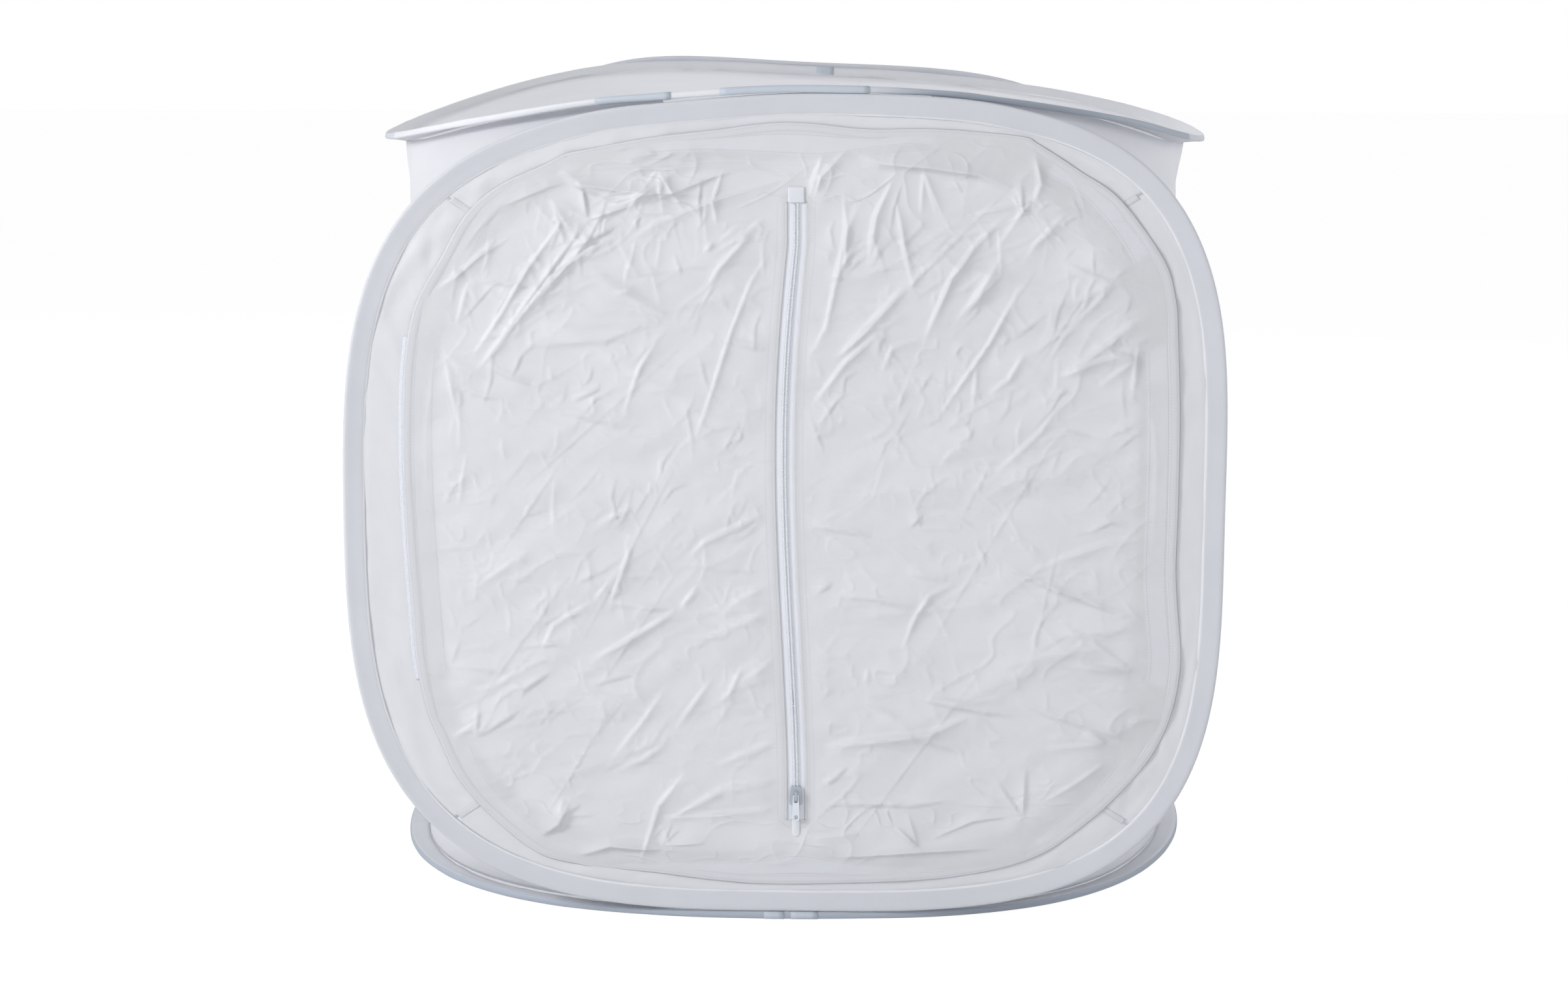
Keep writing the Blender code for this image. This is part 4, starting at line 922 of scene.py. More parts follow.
def make_hoops():
    front = hoop(FRONT_WIDTH, FRONT_HEIGHT, UPRIGHT_POWER, front_points, upright_normals)
    back = hoop(FRONT_WIDTH, FRONT_HEIGHT, UPRIGHT_POWER, back_points, upright_normals)
    top = hoop(TOP_WIDTH, PLAN_DEPTH, LEVEL_POWER, top_points, bent_normals)
    tip = curl(top["path"][:, 1])[:, None]
    level = np.sqrt(1 - tip**2)
    tipped = top["out"] * level + top["across"] * tip
    top["across"] = top["across"] * level - top["out"] * tip
    top["out"] = tipped
    bottom = hoop(BOTTOM_WIDTH, PLAN_DEPTH, LEVEL_POWER, bottom_points, level_normals)
    channel_piece("front_channel_sleeve", front, "front", CHANNEL_CLOTH, ["front_channel"], 11)
    channel_piece("back_channel_sleeve", back, "back", CHANNEL_CLOTH, ["back_channel"], 21)
    channel_piece("top_channel_sleeve", top, "top", BELT_CLOTH, ["top_channel"], 31, top_wire_and_shade)
    channel_piece("bottom_channel_sleeve", bottom, "base", BELT_CLOTH, ["bottom_channel"], 41, bottom_wire_and_shade)
    steel_pieces("front", front, "front", 90)
    steel_pieces("back", back, "back", 90)
    steel_pieces("top", top, "top", 251)
    steel_pieces("bottom", bottom, "base", 270)
    patch_piece("top_front_left_patch", top, -0.135, True, 0.068, True, "top")
    patch_piece("top_front_middle_patch", top, 0.008, True, 0.127, True, "top")
    patch_piece("top_back_patch", top, 0.022, False, 0.017, True, "top")
    patch_piece("bottom_left_patch", bottom, -0.007, True, 0.013, False, "base")
    patch_piece("bottom_right_patch", bottom, 0.018, True, 0.022, False, "base")


def panel_grid(width, height, power, rings=44, steps=360):
    """Rings of points from a panel's tucked edge to its middle, and each ring's share."""
    dense = rounded_loop(width, height, power, np.linspace(0, math.tau, 3000, endpoint=False))
    flat, along = even_loop(dense, steps)
    shares = np.linspace(1, 0, rings) ** 0.9
    return flat[None] * shares[:, None, None], shares[:, None], along[None]


def make_panel(name, size, power, place, body, node, wrinkle, seed, sag=0.0):
    tuck = 2 * (CHANNEL_DEPTH - PANEL_TUCK)
    flat, shares, along = panel_grid(size[0] - tuck, size[1] - tuck, power)
    x, z = flat[..., 0], flat[..., 1]
    free = np.clip((0.965 - shares) / 0.08, 0, 1)
    gather = soft_noise(along / 0.022 + 0 * shares, shares * 1.5 + 0 * along, seed)
    gather = gather * np.exp(-((1 - shares) / 0.10)) * 1.6
    tilt_x, tilt_z = x * 0.8 + z * 0.6, z * 0.8 - x * 0.6
    broad = soft_noise(tilt_x / 0.16, tilt_z / 0.06, seed + 1) + 0.5 * soft_noise(
        x / 0.03, z / 0.05, seed + 2
    )
    lift = wrinkle * free * (gather + broad) - sag * (1 - shares**2)
    piece = grid_piece(name, place(flat, lift), PANEL_CLOTH_PAINTED_LIGHTER, (False, True))
    settle(piece, body, node, slot="white_diffusion_fabric")


def floor_points(flat, rise):
    """The floor panel: tucked in the channel at its edge, and on the floor inside that."""
    reach = np.abs(flat[..., 0] / (BOTTOM_WIDTH / 2)) ** LEVEL_POWER
    reach = (reach + np.abs(flat[..., 1] / (PLAN_DEPTH / 2)) ** LEVEL_POWER) ** (1 / LEVEL_POWER)
    climb = np.clip((reach - 0.87) / 0.08, 0, 1)
    height = FLOOR_CLOTH_Z + (BOTTOM_LIE - FLOOR_CLOTH_Z) * eased(climb) + np.abs(rise)
    return np.stack((flat[..., 0], flat[..., 1], height), axis=-1)


def make_panels():
    roof = (TOP_WIDTH, PLAN_DEPTH)
    upright = (FRONT_WIDTH, FRONT_HEIGHT)
    floor = (BOTTOM_WIDTH, PLAN_DEPTH)
    make_panel(
        "top_panel_cloth", roof, LEVEL_POWER, top_points, "top", "top_panel", 0.0013, 51, TOP_SAG
    )
    make_panel(
        "back_panel_cloth", upright, UPRIGHT_POWER, back_points, "back", "back_panel", 0.0015, 61
    )
    make_panel(
        "bottom_panel_cloth", floor, LEVEL_POWER, floor_points, "base", "bottom_panel", 0.0005, 71
    )


# The side panels


def seamed(size):
    return size - 2 * (CHANNEL_DEPTH + 0.0006)


def side_points(side, u, v):
    """A side panel's points: u is -1 at the front and 1 at the back, v -1 low and 1 high."""
    edge_y = HOOP_Y - SIDE_EDGE
    low, high = BOTTOM_LIE + SIDE_EDGE, TOP_LIE - SIDE_EDGE
    level = (1 - np.abs(u)) / np.maximum(2 - np.abs(u) - np.abs(v), 0.0002)
    share = (v + 1) / 2
    level_width = BOTTOM_WIDTH + (TOP_WIDTH - BOTTOM_WIDTH) * share
    width = seamed(FRONT_WIDTH + (level_width - FRONT_WIDTH) * level)
    power = UPRIGHT_POWER + (LEVEL_POWER - UPRIGHT_POWER) * level
    upright_over = (high - low) / seamed(FRONT_HEIGHT)
    level_over = 2 * edge_y / seamed(PLAN_DEPTH)
    corner = np.abs(u * v) * (upright_over + (level_over - upright_over) * level)
    out = width / 2 * np.maximum(0, 1 - corner**power) ** (1 / power)
    inside = (1 - u * u) * (1 - v * v)
    out = out - SIDE_DRAW_IN * inside
    tilt = (u * 0.8 + v * 0.6, v * 0.8 - u * 0.6)
    waves = soft_noise(tilt[0] * 3.2, tilt[1] * 8, 81) * 0.0035
    waves = waves + soft_noise(u * 11, v * 14, 82) * 0.0012
    out = out + waves * np.clip(inside * 5, 0, 1)
    tip = curl(u * edge_y) * 0.0205 * level
    front = np.clip((-u * edge_y - 0.08) / 0.29, 0, 1)
    lift = arch(side * out) * eased(front)
    drop = (droop(out) * level - twist(side * out, u * edge_y) + tip - lift) * share**2
    shift = np.clip(-u, 0, 1) ** 6 * lean((low + high) / 2 + v * (high - low) / 2)
    x = side * out + shift - drawn_in(side * out, u * edge_y) * (1 - share) ** 2
    return np.stack((x, u * edge_y, (low + high) / 2 + v * (high - low) / 2 - drop), axis=-1)


def side_ends():
    """How far u and v run along the panel's edges, where the belt's corners cut it off."""
    edge_y = HOOP_Y - SIDE_EDGE
    half_z = (TOP_Z - BOTTOM_Z) / 2 - SIDE_EDGE
    up = (1 - (2 * TONGUE_END / seamed(FRONT_WIDTH)) ** UPRIGHT_POWER) ** (1 / UPRIGHT_POWER)
    along = (1 - (2 * TONGUE_END / seamed(TOP_WIDTH)) ** LEVEL_POWER) ** (1 / LEVEL_POWER)
    return along * seamed(PLAN_DEPTH) / 2 / edge_y, up * seamed(FRONT_HEIGHT) / 2 / half_z


def side_half(name, side, corner, body):
    """Half a side panel: the corner's two edges, and the diagonal that joins their far ends.

    The belt's corners fold flat along that diagonal, so each half stays with its own hoops.
    """
    u_end, v_end = side_ends()
    cu, cv = corner
    meet_u, meet_v = cu * (1 + u_end) / 2, cv * (1 + v_end) / 2
    bound = [(-meet_u, meet_v), (-cu * u_end, cv), (cu * u_end, cv), (cu, cv * v_end)]
    bound += [(cu, -cv * v_end), (meet_u, -meet_v)]
    bound = np.array(bound)
    lengths = np.linalg.norm(np.diff(bound, axis=0), axis=1)
    run = np.concatenate(([0], np.cumsum(lengths))) / lengths.sum()
    share = np.sort(np.concatenate((np.linspace(0, 1, 150), run[1:-1])))
    edge = np.column_stack([np.interp(share, run, column) for column in bound.T])
    ends = np.array((bound[0], bound[-1]))
    diagonal = ends[0] + (ends[1] - ends[0]) * share[:, None]
    rows = np.linspace(0, 1, 70)[:, None, None]
    field = diagonal[None] * (1 - rows) + edge[None] * rows
    points = side_points(side, field[..., 0], field[..., 1])
    piece = grid_piece(name, points, PANEL_CLOTH_PAINTED_LIGHTER)
    node = "left_side_panel" if side < 0 else "right_side_panel"
    settle(piece, body, node, slot="white_diffusion_fabric")
    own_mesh(piece)


def make_sides():
    for side, word in ((-1, "left"), (1, "right")):
        side_half(f"{word}_side_front_half", side, (-1, -1), "base")
        side_half(f"{word}_side_back_half", side, (1, 1), "back")


# The front: flange, cover and zip


def flange_points(angles, rows, lift=0.0):
    """Points of the flange: rows run from 0 at the channel to 1 at the opening's edge."""
    tuck = 2 * (CHANNEL_DEPTH - 0.004)
    outer = rounded_loop(FRONT_WIDTH - tuck, FRONT_HEIGHT - tuck, UPRIGHT_POWER, angles)
    inner = rounded_loop(OPENING_WIDTH, OPENING_HEIGHT, UPRIGHT_POWER, angles)
    flat = outer[None] * (1 - rows[:, None, None]) + inner[None] * rows[:, None, None]
    run = np.arctan2(flat[..., 1], flat[..., 0])
    corner = np.abs(np.sin(2 * run)) ** 2
    across = rows[:, None]
    hang = np.sin(np.pi * np.clip((across - 0.09) / 0.40, 0, 1))
    wave = soft_noise(run * 9 + across * 2.0, across * 1.2, 91)
    wave = wave + 0.6 * soft_noise(run * 26 - across * 3, across * 2, 92)
    layer = 0.0004 * np.clip((across - 0.06) / 0.05, 0, 1)
    layer = layer + 0.0022 * hang * (0.25 + 0.75 * corner) * wave
    points = front_points(flat)
    points[..., 1] -= layer + lift
    return points


def make_flange(seams):
    """The ring of fabric round the opening, in four strips, rippled at the corners."""
    quarter = math.tau / 4
    half_gap = 0.0003 / OPENING_HEIGHT
    for turn, side in enumerate(("right", "top", "left", "bottom")):
        low, high = turn * quarter - quarter / 2, turn * quarter + quarter / 2
        angles = np.linspace(low + half_gap, high - half_gap, 160)
        points = flange_points(angles, np.linspace(0, 1, 34))
        piece = grid_piece(f"flange_{side}_cloth", points, FLANGE_CLOTH)
        settle(piece, "front", f"flange_{side}", slot="white_diffusion_fabric")


def make_corner_seams():
    """The overlaps of the flange's strips at its four corners, turned and stitched down."""
    made = []
    for turn, corner in enumerate(("top_right", "top_left", "bottom_left", "bottom_right")):
        middle = math.pi / 4 + math.tau * turn / 4
        radius = 0.45
        offs = np.array((-0.0034, -0.0031, -0.0012, 0.0012, 0.0031, 0.0034))
        rows = np.linspace(0.10, 0.62, 26)
        points = flange_points(middle + offs / radius, rows, 0.0004)
        points[:, (0, -1), 1] += 0.00025
        facts = {"edge": offs[None] + 0.0038, "along": rows[:, None] * 0.05 + 0 * offs[None]}
        node = f"flange_seam_{corner}"
        piece = grid_piece(f"{node}_tape", points, BINDING_TAPE, facts=facts, thickness=0.0003)
        made.append(settle(piece, "front", node, slot="white_channel_fabric"))
    return made


def zip_bend(height):
    """How far the slit wanders from straight: it bows to the left, most above its middle."""
    share = np.clip((height - 0.135) / 0.49, 0, 1)
    return -0.011 * np.sin(np.pi * share**1.4)


def cover_rim(steps=1300):
    """The cover's edge as a sweep, in the plane of the cover."""
    flat, along = even_loop(smooth_loop(np.array(COVER_EDGE) / 1000), steps)
    total = along[-1] + along[1]
    # The edge is held at its strips, and lies closer to the flange between them
    wave = 0.0006 * loop_noise(along, total, 34, 101) + 0.0002 * loop_noise(along, total, 120, 102)
    layer = FREE_EDGE_LAYER + np.clip(wave, -0.0002, None)
    layer += (EDGE_LAYER - layer) * soft_window(flat)
    path = np.column_stack((flat[:, 0] + COVER_X, -HOOP_Y - layer, flat[:, 1] + MIDDLE_Z))
    normals = upright_normals(path)
    return {
        "path": path,
        "out": sweep_frames(path, normals),
        "across": normals,
        "along": along,
        "flat": flat,
        "layer": layer,
    }


# Each hook strip's middle and half length, in degrees round the cover from its right side, and
# how plainly it shows through the cloth
STRIP_SPANS = (
    ("right", 0.0, 25.0, 0.8),
    ("top_right", 45.0, 8.5, 1.0),
    ("top", 90.0, 20.5, 0.7),
    ("top_left", 135.0, 8.5, 0.4),
    ("left", 180.0, 25.0, 0.15),
    ("bottom_left", 225.0, 8.5, 0.4),
    ("bottom", 270.0, 20.5, 0.8),
    ("bottom_right", 315.0, 8.5, 0.8),
)


def soft_window(flat):
    """As tape_window, but falling away over 40 mm past each strip's end."""
    angle = np.degrees(np.arctan2(flat[..., 1], flat[..., 0]))
    window = np.zeros_like(angle)
    for _, middle, half, _ in STRIP_SPANS:
        off = np.abs((angle - middle + 180) % 360 - 180)
        share = np.clip((half + 7.5 - off) / 6.5, 0, 1)
        window = np.maximum(window, eased(share))
    return window


def tape_window(flat, toned=False):
    """1 where a hook strip is sewn behind the cover's edge, and 0 between the strips. toned
    gives how plainly each shows instead of 1."""
    angle = np.degrees(np.arctan2(flat[..., 1], flat[..., 0]))
    window = np.zeros_like(angle)
    for _, middle, half, tone in STRIP_SPANS:
        off = np.abs((angle - middle + 180) % 360 - 180)
        inside = np.clip((half - off) / 0.8 + 0.5, 0, 1)
        window = np.maximum(window, inside * tone if toned else inside)
    return window


# How many creases come from the formulas, and how high each kind stands against its table
SMALL_CREASES, STRIP_END_CREASES, PACKING_RISE = 640, 3, 0.42
CREASE_SHARE, SMALL_SHARE, STRIP_END_SHARE, PACKING_SHARE = 2.4, 1.7, 1.9, 2.0
# The cloth never sinks further than this towards the strips behind it
DEEPEST_DIP = 0.0008


def small_creases():
    """Short creases that fill the cloth between the main ones, more of them up and left."""
    random = np.random.default_rng(7)
    made = []
    while len(made) < SMALL_CREASES:
        x, z = random.uniform(-310, 310), random.uniform(-300, 300)
        lean_deg = 52 - 0.05 * x + 0.06 * z if x < 0 else 48 + 0.09 * z
        if z < 0:
            lean_deg = 38 if x < 0 else -18
        turn = math.radians(lean_deg + random.normal(0, 24))
        half = random.uniform(4, 26)
        run = (half * math.cos(turn), half * math.sin(turn))
        bow = random.normal(0, 2.5)
        ends = ((x - run[0], z - run[1]), (x + bow, z - bow), (x + run[0], z + run[1]))
        rise = random.uniform(0.15, 0.85) ** 1.4 * (0.9 + z / 700 + abs(x) / 2600)
        if random.uniform() < 0.35:
            ends = ends[::-1]
        made.append((ends, rise, random.uniform(1.9, 3.4)))
    return made


def packing_creases():
    """Long straight creases, faint, left from when the tent was folded away."""
    random = np.random.default_rng(29)
    made = []
    for count, middle, spread in ((11, 57, 7), (8, -24, 8), (4, 4, 5)):
        for _ in range(count):
            x, z = random.uniform(-260, 260), random.uniform(-240, 250)
            turn = math.radians(middle + random.normal(0, spread))
            half = random.uniform(45, 120)
            run = (half * math.cos(turn), half * math.sin(turn))
            ends = ((x - run[0], z - run[1]), (x + run[0], z + run[1]))
            made.append((ends, PACKING_RISE, 2.0))
    return made


def strip_end_creases():
    """Creases that run in from the ends of the hook strips, where the cloth is held."""
    random = np.random.default_rng(19)
    made = []
    for _, middle, half, _ in STRIP_SPANS:
        for end in (-1, 1):
            angle = math.radians(middle + end * half)
            flat = rounded_loop(0.640, 0.630, 3.2, np.array([angle]))[0] * 1000
            for _ in range(STRIP_END_CREASES):
                turn = angle + math.pi + random.normal(0, 0.55)
                length = random.uniform(18, 60)
                tip = (flat[0] + length * math.cos(turn), flat[1] + length * math.sin(turn))
                made.append(((tuple(flat), tip), random.uniform(0.7, 1.6), random.uniform(3, 5)))
    return made


def make_cover(rim, tongue):
    """The cover: creased cloth from the folded edges of its slit to its bound edge."""
    flat = rim["flat"]
    count = len(flat)
    angle = np.arctan2(flat[:, 1], flat[:, 0])
    turn = math.atan2(SLOT_HIGH - SLOT_LOW, FRONT_WIDTH * 0.884)
    marks = [int(np.argmin(np.abs((angle - a + math.pi) % math.tau - math.pi))) for a in (
        math.pi - turn, math.pi + turn, -turn, turn
    )]
    half = SLOT_WIDTH / 2
    low, high = SLOT_LOW - MIDDLE_Z, SLOT_HIGH - MIDDLE_Z
    zip_off = ZIP_X - COVER_X
    left, right = zip_off - half, zip_off + half
    slit_corners = np.array(((left, high), (left, low), (right, low), (right, high)))
    slit = np.zeros_like(flat)
    for side in range(4):
        first, last = marks[side], marks[(side + 1) % 4]
        steps = (last - first) % count
        share = np.arange(steps)[:, None] / steps
        here = slit_corners[side] + (slit_corners[(side + 1) % 4] - slit_corners[side]) * share
        slit[(first + np.arange(steps)) % count] = here
    slit[:, 0] += zip_bend(slit[:, 1] + MIDDLE_Z)
    rows = 226
    shares = np.linspace(0, 1, rows)[:, None, None]
    field = slit[None] * (1 - shares) + flat[None] * shares
    x, z = field[..., 0], field[..., 1]
    reach = np.linalg.norm(flat - slit, axis=1)[None]
    from_slit = shares[..., 0] * reach
    from_edge = (1 - shares[..., 0]) * reach
    held = tape_window(field)
    free = np.clip((from_edge - 0.006) / 0.030, 0, 1) * np.clip((from_slit - 0.004) / 0.022, 0, 1)
    free_soft = eased(free)
    height = CREASE_SHARE * crease_heights(x, z, CREASES)
    height += SMALL_SHARE * crease_heights(x, z, small_creases())
    height += STRIP_END_SHARE * crease_heights(x, z, strip_end_creases())
    height += PACKING_SHARE * crease_heights(x, z, packing_creases())
    broad = np.zeros_like(x)
    for points, rise, width in FOLDS:
        broad += crease_heights(x, z, [(points, rise, width)])
    lie = (x * 0.82 + z * 0.57, z * 0.82 - x * 0.57)
    ground = 0.0015 * soft_noise(x / 0.085, z / 0.022, 111)
    ground += 0.0010 * soft_noise(lie[0] / 0.06, lie[1] / 0.018, 112)
    ground += 0.0012 * crumple_ridges(lie[0] / 2.2, lie[1], 0.020, 114)
    ground += 0.0009 * crumple_ridges(x / 1.6 + z * 0.3, z, 0.011, 118, 7)
    near_tape = np.clip((0.045 - from_edge) / 0.02, 0, 1)
    lift = free_soft * (height * (1 - 0.6 * near_tape * held) + broad + ground * (1 - 0.5 * near_tape))
    lift = np.maximum(lift, -DEEPEST_DIP)
    level = rim["layer"][None] + (COVER_LAYER - rim["layer"][None]) * np.clip(from_edge / 0.06, 0, 1)
    hem = 0.0002 * np.exp(-((from_slit / 0.006) ** 2))
    points = np.stack((x + COVER_X, -HOOP_Y - level - lift - hem, z + MIDDLE_Z), axis=-1)
    facts = {
        "edge": from_edge,
        "slit": from_slit,
        "held": held,
        "tone": tape_window(field, toned=True),
        "along": np.where(from_slit < 0.030, z, rim["along"][None] + 0 * z),
    }
    piece = grid_piece("front_cover_cloth", points, COVER_CLOTH, (False, True), facts=facts)
    settle(piece, "cover", "front_cover", slot="white_diffusion_fabric")


def make_binding(rim):
    """The folded tape round the cover's edge, stitched through twice."""
    side = 0.00038
    line = np.array(
        ((-0.0090, 0.0001), (-0.0082, side), (-0.0030, side), (-0.0006, side - 0.0001),
         (0.0002, 0.0), (-0.0006, -side), (-0.0070, -side))
    )
    total = rim["along"][-1] + rim["along"][1]
    wobble = 1 + 0.08 * loop_noise(rim["along"], total, 60, 121)[:, None]
    points = (
        rim["path"][:, None]
        + rim["out"][:, None] * (line[:, 0] * wobble)[..., None]
        + rim["across"][:, None] * line[None, :, 1:]
    )
    across = np.concatenate(([0], np.cumsum(np.linalg.norm(np.diff(line, axis=0), axis=1))))
    facts = {"edge": across[None], "along": rim["along"][:, None]}
    piece = grid_piece("cover_binding_tape", points, BINDING_TAPE, (True, False), 0.0003, facts)
    settle(piece, "cover", "cover_binding", slot="white_channel_fabric")


def make_strips(rim):
    """Hook strips behind the cover's edge, and the loop strips on the flange that meet them."""
    angle = np.degrees(np.arctan2(rim["flat"][:, 1], rim["flat"][:, 0]))
    rim = dict(rim)
    rim["path"] = rim["path"].copy()
    rim["path"][:, 1] = -HOOP_Y
    for place, middle, half, _ in STRIP_SPANS:
        off = (angle - middle + 180) % 360 - 180
        inside = np.where(np.abs(off) < half)[0]
        start = inside[np.argmin(off[inside])]
        window = (start, start + len(inside))
        for kind, layer, body, material in (
            ("loop", LOOP_LAYER, "front", LOOP_TAPE_PAINTED_DARKER),
            ("hook", HOOK_LAYER, "cover", HOOK_TAPE),
        ):
            # The left loop strip is sewn on too far out, so its edge shows past the cover
            inset = TAPE_INSET - LEFT_LOOP_OUT if (kind, place) == ("loop", "left") else TAPE_INSET
            outs = np.linspace(-inset, -inset - TAPE_WIDTH, 5)
            section = [(out, layer) for out in outs]
            node = f"{kind}_strip_{place}"
            rim_sheet(
                f"{node}_tape", rim, window, section, body, material, [node],
                TAPE_THICKNESS * 0.9, f"white_{kind}_tape",
            )


def make_zip():
    """Zip tapes and the interlocked coils, all following the slit."""
    heights = np.linspace(SLOT_LOW - 0.0075, SLOT_HIGH + 0.0075, 200)
    bend = zip_bend(heights)
    for side, word in ((-1, "left"), (1, "right")):
        outs = np.linspace(0.0002, 0.0137, 6)
        x = ZIP_X + bend[:, None] + side * outs[None]
        y = np.full_like(x, -HOOP_Y - ZIP_TAPE_LAYER)
        points = np.stack((x, y, heights[:, None] + 0 * x), axis=-1)
        tape = grid_piece(f"zip_tape_{word}_cloth", points, ZIP_TAPE_PAINTED_LIGHTER)
        settle(tape, "cover", f"zip_tape_{word}", slot="white_zip_tape")
        make_coil(side, word)


def make_coil(side, word):
    """One side's nylon coil: close turns 1.25 mm apart, each a small flattened arch."""
    pitch = 0.00125
    count = int((SLOT_HIGH - SLOT_LOW - 0.002) / pitch)
    places = SLOT_LOW + 0.001 + pitch * (np.arange(count) + 0.5 + 0.25 * side)
    arch = np.array(
        ((0.0002, 0.0005), (0.0006, 0.0013), (0.0013, 0.0016), (0.0021, 0.0014), (0.0027, 0.0005))
    )
    ring = np.linspace(0, math.tau, 6, endpoint=False)
    radius = 0.00052
    out = arch[:, 0][:, None] + 0 * ring[None]
    front = arch[:, 1][:, None] + 0.5 * radius * np.cos(ring)[None] - 0.0008
    rise = radius * np.sin(ring)[None] + 0 * out
    x = ZIP_X + zip_bend(places)[:, None, None] + side * out[None]
    y = -HOOP_Y - COIL_LAYER - front[None] + 0 * x
    z = places[:, None, None] + rise[None] + side * 0.0001 * np.arange(5)[None, :, None]
    points = np.stack((x, y, z), axis=-1)[:, :, ::side]
    coil = bars_piece(f"zip_coil_{word}_turns", points, COIL_NYLON)
    settle(coil, "cover", f"zip_coil_{word}", slot="white_nylon_coil")


def make_zip_top_tab():
    """The folded tab over the zip's top end."""
    rows = np.linspace(0, 1, 14)
    offs = np.linspace(-1, 1, 12)
    half = SLOT_WIDTH / 2 - 0.0002
    x = ZIP_X + half * offs[None] + 0 * rows[:, None]
    z = SLOT_HIGH - 0.0005 + 0.0140 * rows[:, None] + 0 * offs[None]
    roll = 0.0009 * np.exp(-((rows[:, None] - 0.08) / 0.10) ** 2) + 0.0002 * (1 - offs[None] ** 2)
    points = np.stack((x, -HOOP_Y - 0.0042 - roll, z), axis=-1)
    tab = grid_piece("zip_top_tab_cloth", points, ZIP_TAPE_PAINTED_LIGHTER)
    settle(tab, "cover", "zip_top_tab", slot="white_zip_tape")


def make_zip_tongue():
    """The tongue of tape below the zip's bottom end."""
    offs = np.linspace(-1, 1, 12)
    reach = np.linspace(0, 1, 30)
    narrow = np.sqrt(np.clip(1 - np.clip((reach - 0.76) / 0.24, 0, 1) ** 2, 0.02, 1))
    x = ZIP_X + 0.0036 * offs[None] * narrow[:, None]
    z = SLOT_LOW - 0.0004 - 0.0150 * reach[:, None] + 0 * offs[None]
    swell = 0.0005 * (1 - (offs[None] * narrow[:, None]) ** 2)
    points = np.stack((x, -HOOP_Y - 0.0042 - swell, z), axis=-1)
    tongue = grid_piece("zip_bottom_tongue_cloth", points, ZIP_TAPE_PAINTED_LIGHTER)
    return settle(tongue, "cover", "zip_bottom_tongue", slot="white_zip_tape")


def rounded_outline(corners, steps=7):
    """A closed outline from corners, each (x, z, radius of its rounding)."""
    made = []
    count = len(corners)
    for index, (x, z, radius) in enumerate(corners):
        here = np.array((x, z))
        before = np.array(corners[index - 1][:2]) - here
        after = np.array(corners[(index + 1) % count][:2]) - here
        start = here + before / np.linalg.norm(before) * radius
        end = here + after / np.linalg.norm(after) * radius
        for share in np.linspace(0, 1, steps):
            made.append(start * (1 - share) ** 2 + 2 * here * share * (1 - share) + end * share**2)
    return made


def make_zip_metal():
    """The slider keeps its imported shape. The pull is a plate that widens to its low end, with
    a window at its top bar and a big round hole."""
    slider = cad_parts["zip_slider"]
    slider.data.materials.clear()
    slider.data.materials.append(SLIDER_ZINC)
    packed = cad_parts["zip_pull"]
    corners = np.array([packed.matrix_world @ vertex.co for vertex in packed.data.vertices])
    top, low, middle = corners[:, 2].max(), corners[:, 2].min(), corners[:, 1].mean()
    outline = rounded_outline((
        (-0.0026, top, 0.0014), (0.0026, top, 0.0014), (0.0034, low, 0.0030), (-0.0034, low, 0.0030),
    ))
    window_low = top - 0.0074
    window = rounded_outline((
        (-0.0017, top - 0.0016, 0.0006), (0.0017, top - 0.0016, 0.0006),
        (0.0016, window_low, 0.0008), (-0.0016, window_low, 0.0008),
    ))
    turns = np.linspace(0, math.tau, 28, endpoint=False)
    hole = np.column_stack((0.0022 * np.cos(turns), low + 0.0034 + 0.0022 * np.sin(turns)))
    drawing = bpy.data.curves.new("pull_outline", "CURVE")
    drawing.dimensions = "2D"
    drawing.fill_mode = "BOTH"
    drawing.extrude = 0.00045
    drawing.bevel_depth = 0.00015
    for line in (outline, window, hole):
        spline = drawing.splines.new("POLY")
        spline.points.add(len(line) - 1)
        for point, (x, z) in zip(spline.points, line):
            point.co = (x, z, 0.0, 1.0)
        spline.use_cyclic_u = True
    helper = bpy.data.objects.new("pull_outline", drawing)
    bpy.context.scene.collection.objects.link(helper)
    mesh = bpy.data.meshes.new_from_object(helper.evaluated_get(bpy.context.evaluated_depsgraph_get()))
    bpy.data.objects.remove(helper)
    for vertex in mesh.vertices:
        x, z, out = vertex.co
        vertex.co = (ZIP_X + x, middle - out, z)
    mesh.materials.clear()
    pull = add_piece("zip_pull_plate", mesh, PULL_ZINC)
    pull.data.polygons.foreach_set("use_smooth", np.zeros(len(pull.data.polygons), bool))
    settle(pull, "zip_pull", "zip_pull", slot="pale_zinc_slider")


# The room

AMBIENT, FLOOR_Z = 0.40, -0.0002
# Each lamp's place, what it points at, its width and its watts
SOFTBOXES = (
    ("key_softbox", (-2.9, -2.1, 1.7), (0, -0.2, 0.4), 0.8, 90.0),
    ("fill_softbox", (0.6, -3.6, 1.3), (0, -0.2, 0.4), 2.4, 32.0),
    ("left_softbox", (-3.2, 0.4, 1.2), (0, 0, 0.4), 1.6, 10.0),
    ("right_softbox", (3.2, 0.4, 1.2), (0, 0, 0.4), 1.6, 32.0),
    ("back_softbox", (0.6, 3.4, 1.6), (0, 0, 0.4), 2.4, 30.0),
)


def white_seen(tree, strength):
    """Plain white light for the camera, mirrors and glass, and 0 for the light on the tent."""
    path = add_node(tree, "ShaderNodeLightPath")
    seen = add_node(
        tree,
        "ShaderNodeMath",
        {"operation": "MAXIMUM"},
        {0: path.outputs["Is Camera Ray"], 1: path.outputs["Is Glossy Ray"]},
    )
    seen = add_node(
        tree,
        "ShaderNodeMath",
        {"operation": "MAXIMUM"},
        {0: seen.outputs[0], 1: path.outputs["Is Transmission Ray"]},
    )
    return add_node(
        tree, "ShaderNodeMath", {"operation": "MULTIPLY", 1: strength}, {0: seen.outputs[0]}
    )


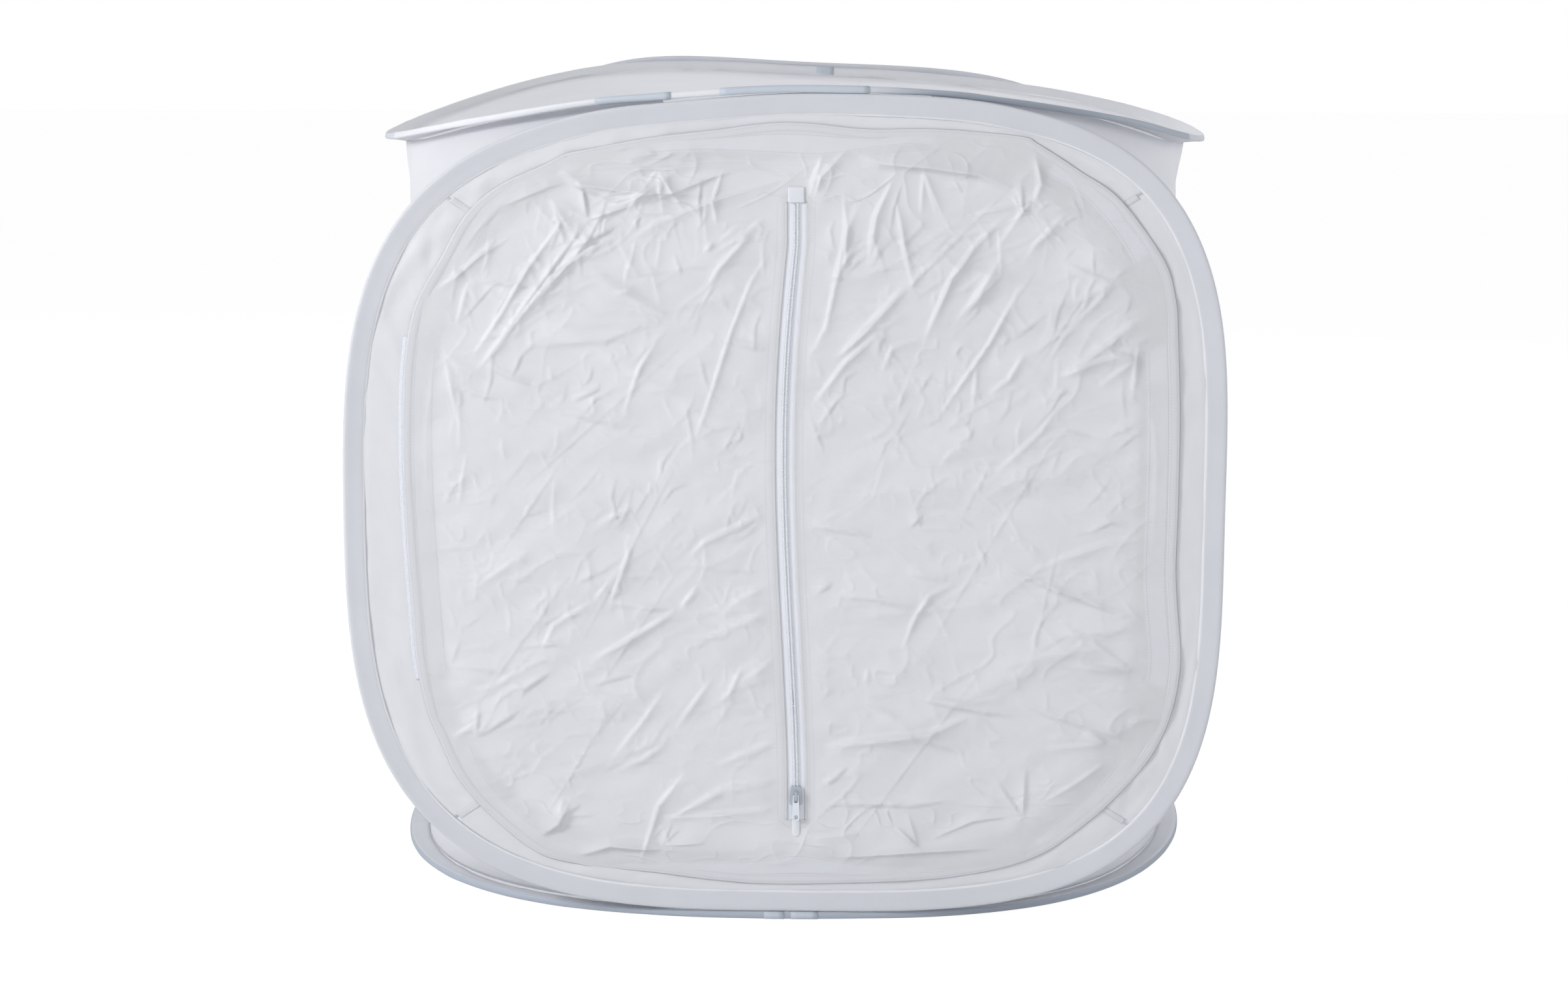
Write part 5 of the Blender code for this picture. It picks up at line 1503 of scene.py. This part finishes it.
def make_room():
    world = bpy.data.worlds.new("studio")
    bpy.context.scene.world = world
    world.use_nodes = True
    tree = world.node_tree
    tree.nodes.clear()
    soft = add_node(tree, "ShaderNodeBackground", {"Color": (1, 1, 1, 1), "Strength": AMBIENT})
    white = add_node(tree, "ShaderNodeBackground", {"Color": (1, 1, 1, 1), "Strength": 1.0})
    mix = add_node(tree, "ShaderNodeMixShader", {}, {0: white_seen(tree, 1.0).outputs[0]})
    tree.links.new(soft.outputs[0], mix.inputs[1])
    tree.links.new(white.outputs[0], mix.inputs[2])
    add_node(tree, "ShaderNodeOutputWorld", {}, {"Surface": mix.outputs[0]})

    mesh = bpy.data.meshes.new("floor")
    reach = 12.0
    ends = ((-reach, -reach), (reach, -reach), (reach, reach), (-reach, reach))
    corners = [(x, y, FLOOR_Z) for x, y in ends]
    mesh.from_pydata(corners, [], [(0, 1, 2, 3)])
    material = bpy.data.materials.new("matt_white_paper")
    material.use_nodes = True
    tree = material.node_tree
    tree.nodes.clear()
    paper = add_node(tree, "ShaderNodeBsdfDiffuse", {"Color": (0.9, 0.9, 0.9, 1)})
    glow = add_node(tree, "ShaderNodeEmission", {"Color": (1, 1, 1, 1), "Strength": 1.07})
    mix = add_node(tree, "ShaderNodeMixShader", {}, {0: white_seen(tree, 0.88).outputs[0]})
    tree.links.new(paper.outputs[0], mix.inputs[1])
    tree.links.new(glow.outputs[0], mix.inputs[2])
    add_node(tree, "ShaderNodeOutputMaterial", {}, {"Surface": mix.outputs[0]})
    mesh.materials.append(material)
    floor = bpy.data.objects.new("floor", mesh)
    bpy.context.scene.collection.objects.link(floor)


def add_softbox(name, place, target, size, watts):
    light = bpy.data.lights.new(name, "AREA")
    light.shape = "SQUARE"
    light.size = size
    light.energy = watts
    lamp = bpy.data.objects.new(name, light)
    bpy.context.scene.collection.objects.link(lamp)
    lamp.location = place
    direction = np.array(target, float) - np.array(place, float)
    flat = math.hypot(direction[0], direction[1])
    pitch = math.atan2(flat, -direction[2])
    lamp.rotation_euler = (pitch, 0, math.atan2(direction[1], direction[0]) - math.pi / 2)


def make_camera():
    """The photo's camera: 3.33 m in front of the tent's middle and 0.92 m up, looking a
    little down. Its focal length is 5053 pixels of the 2408 pixel frame."""
    lens = bpy.data.cameras.new("camera")
    lens.sensor_width = 36.0
    lens.lens = 5053 / 2408 * lens.sensor_width
    camera = bpy.data.objects.new("camera", lens)
    bpy.context.scene.collection.objects.link(camera)
    camera.location = (0.090, -3.33, 0.92)
    camera.rotation_euler = (math.pi / 2 - 0.1754, 0, 0.0307)
    bpy.context.scene.camera = camera


def main():
    make_hoops()
    make_panels()
    make_sides()
    make_flange(make_corner_seams())
    rim = cover_rim()
    make_cover(rim, make_zip_tongue())
    make_binding(rim)
    make_strips(rim)
    make_zip()
    make_zip_top_tab()
    make_zip_metal()
    make_room()
    for softbox in SOFTBOXES:
        add_softbox(*softbox)
    make_camera()
    bpy.context.scene.view_settings.view_transform = "Standard"


main()
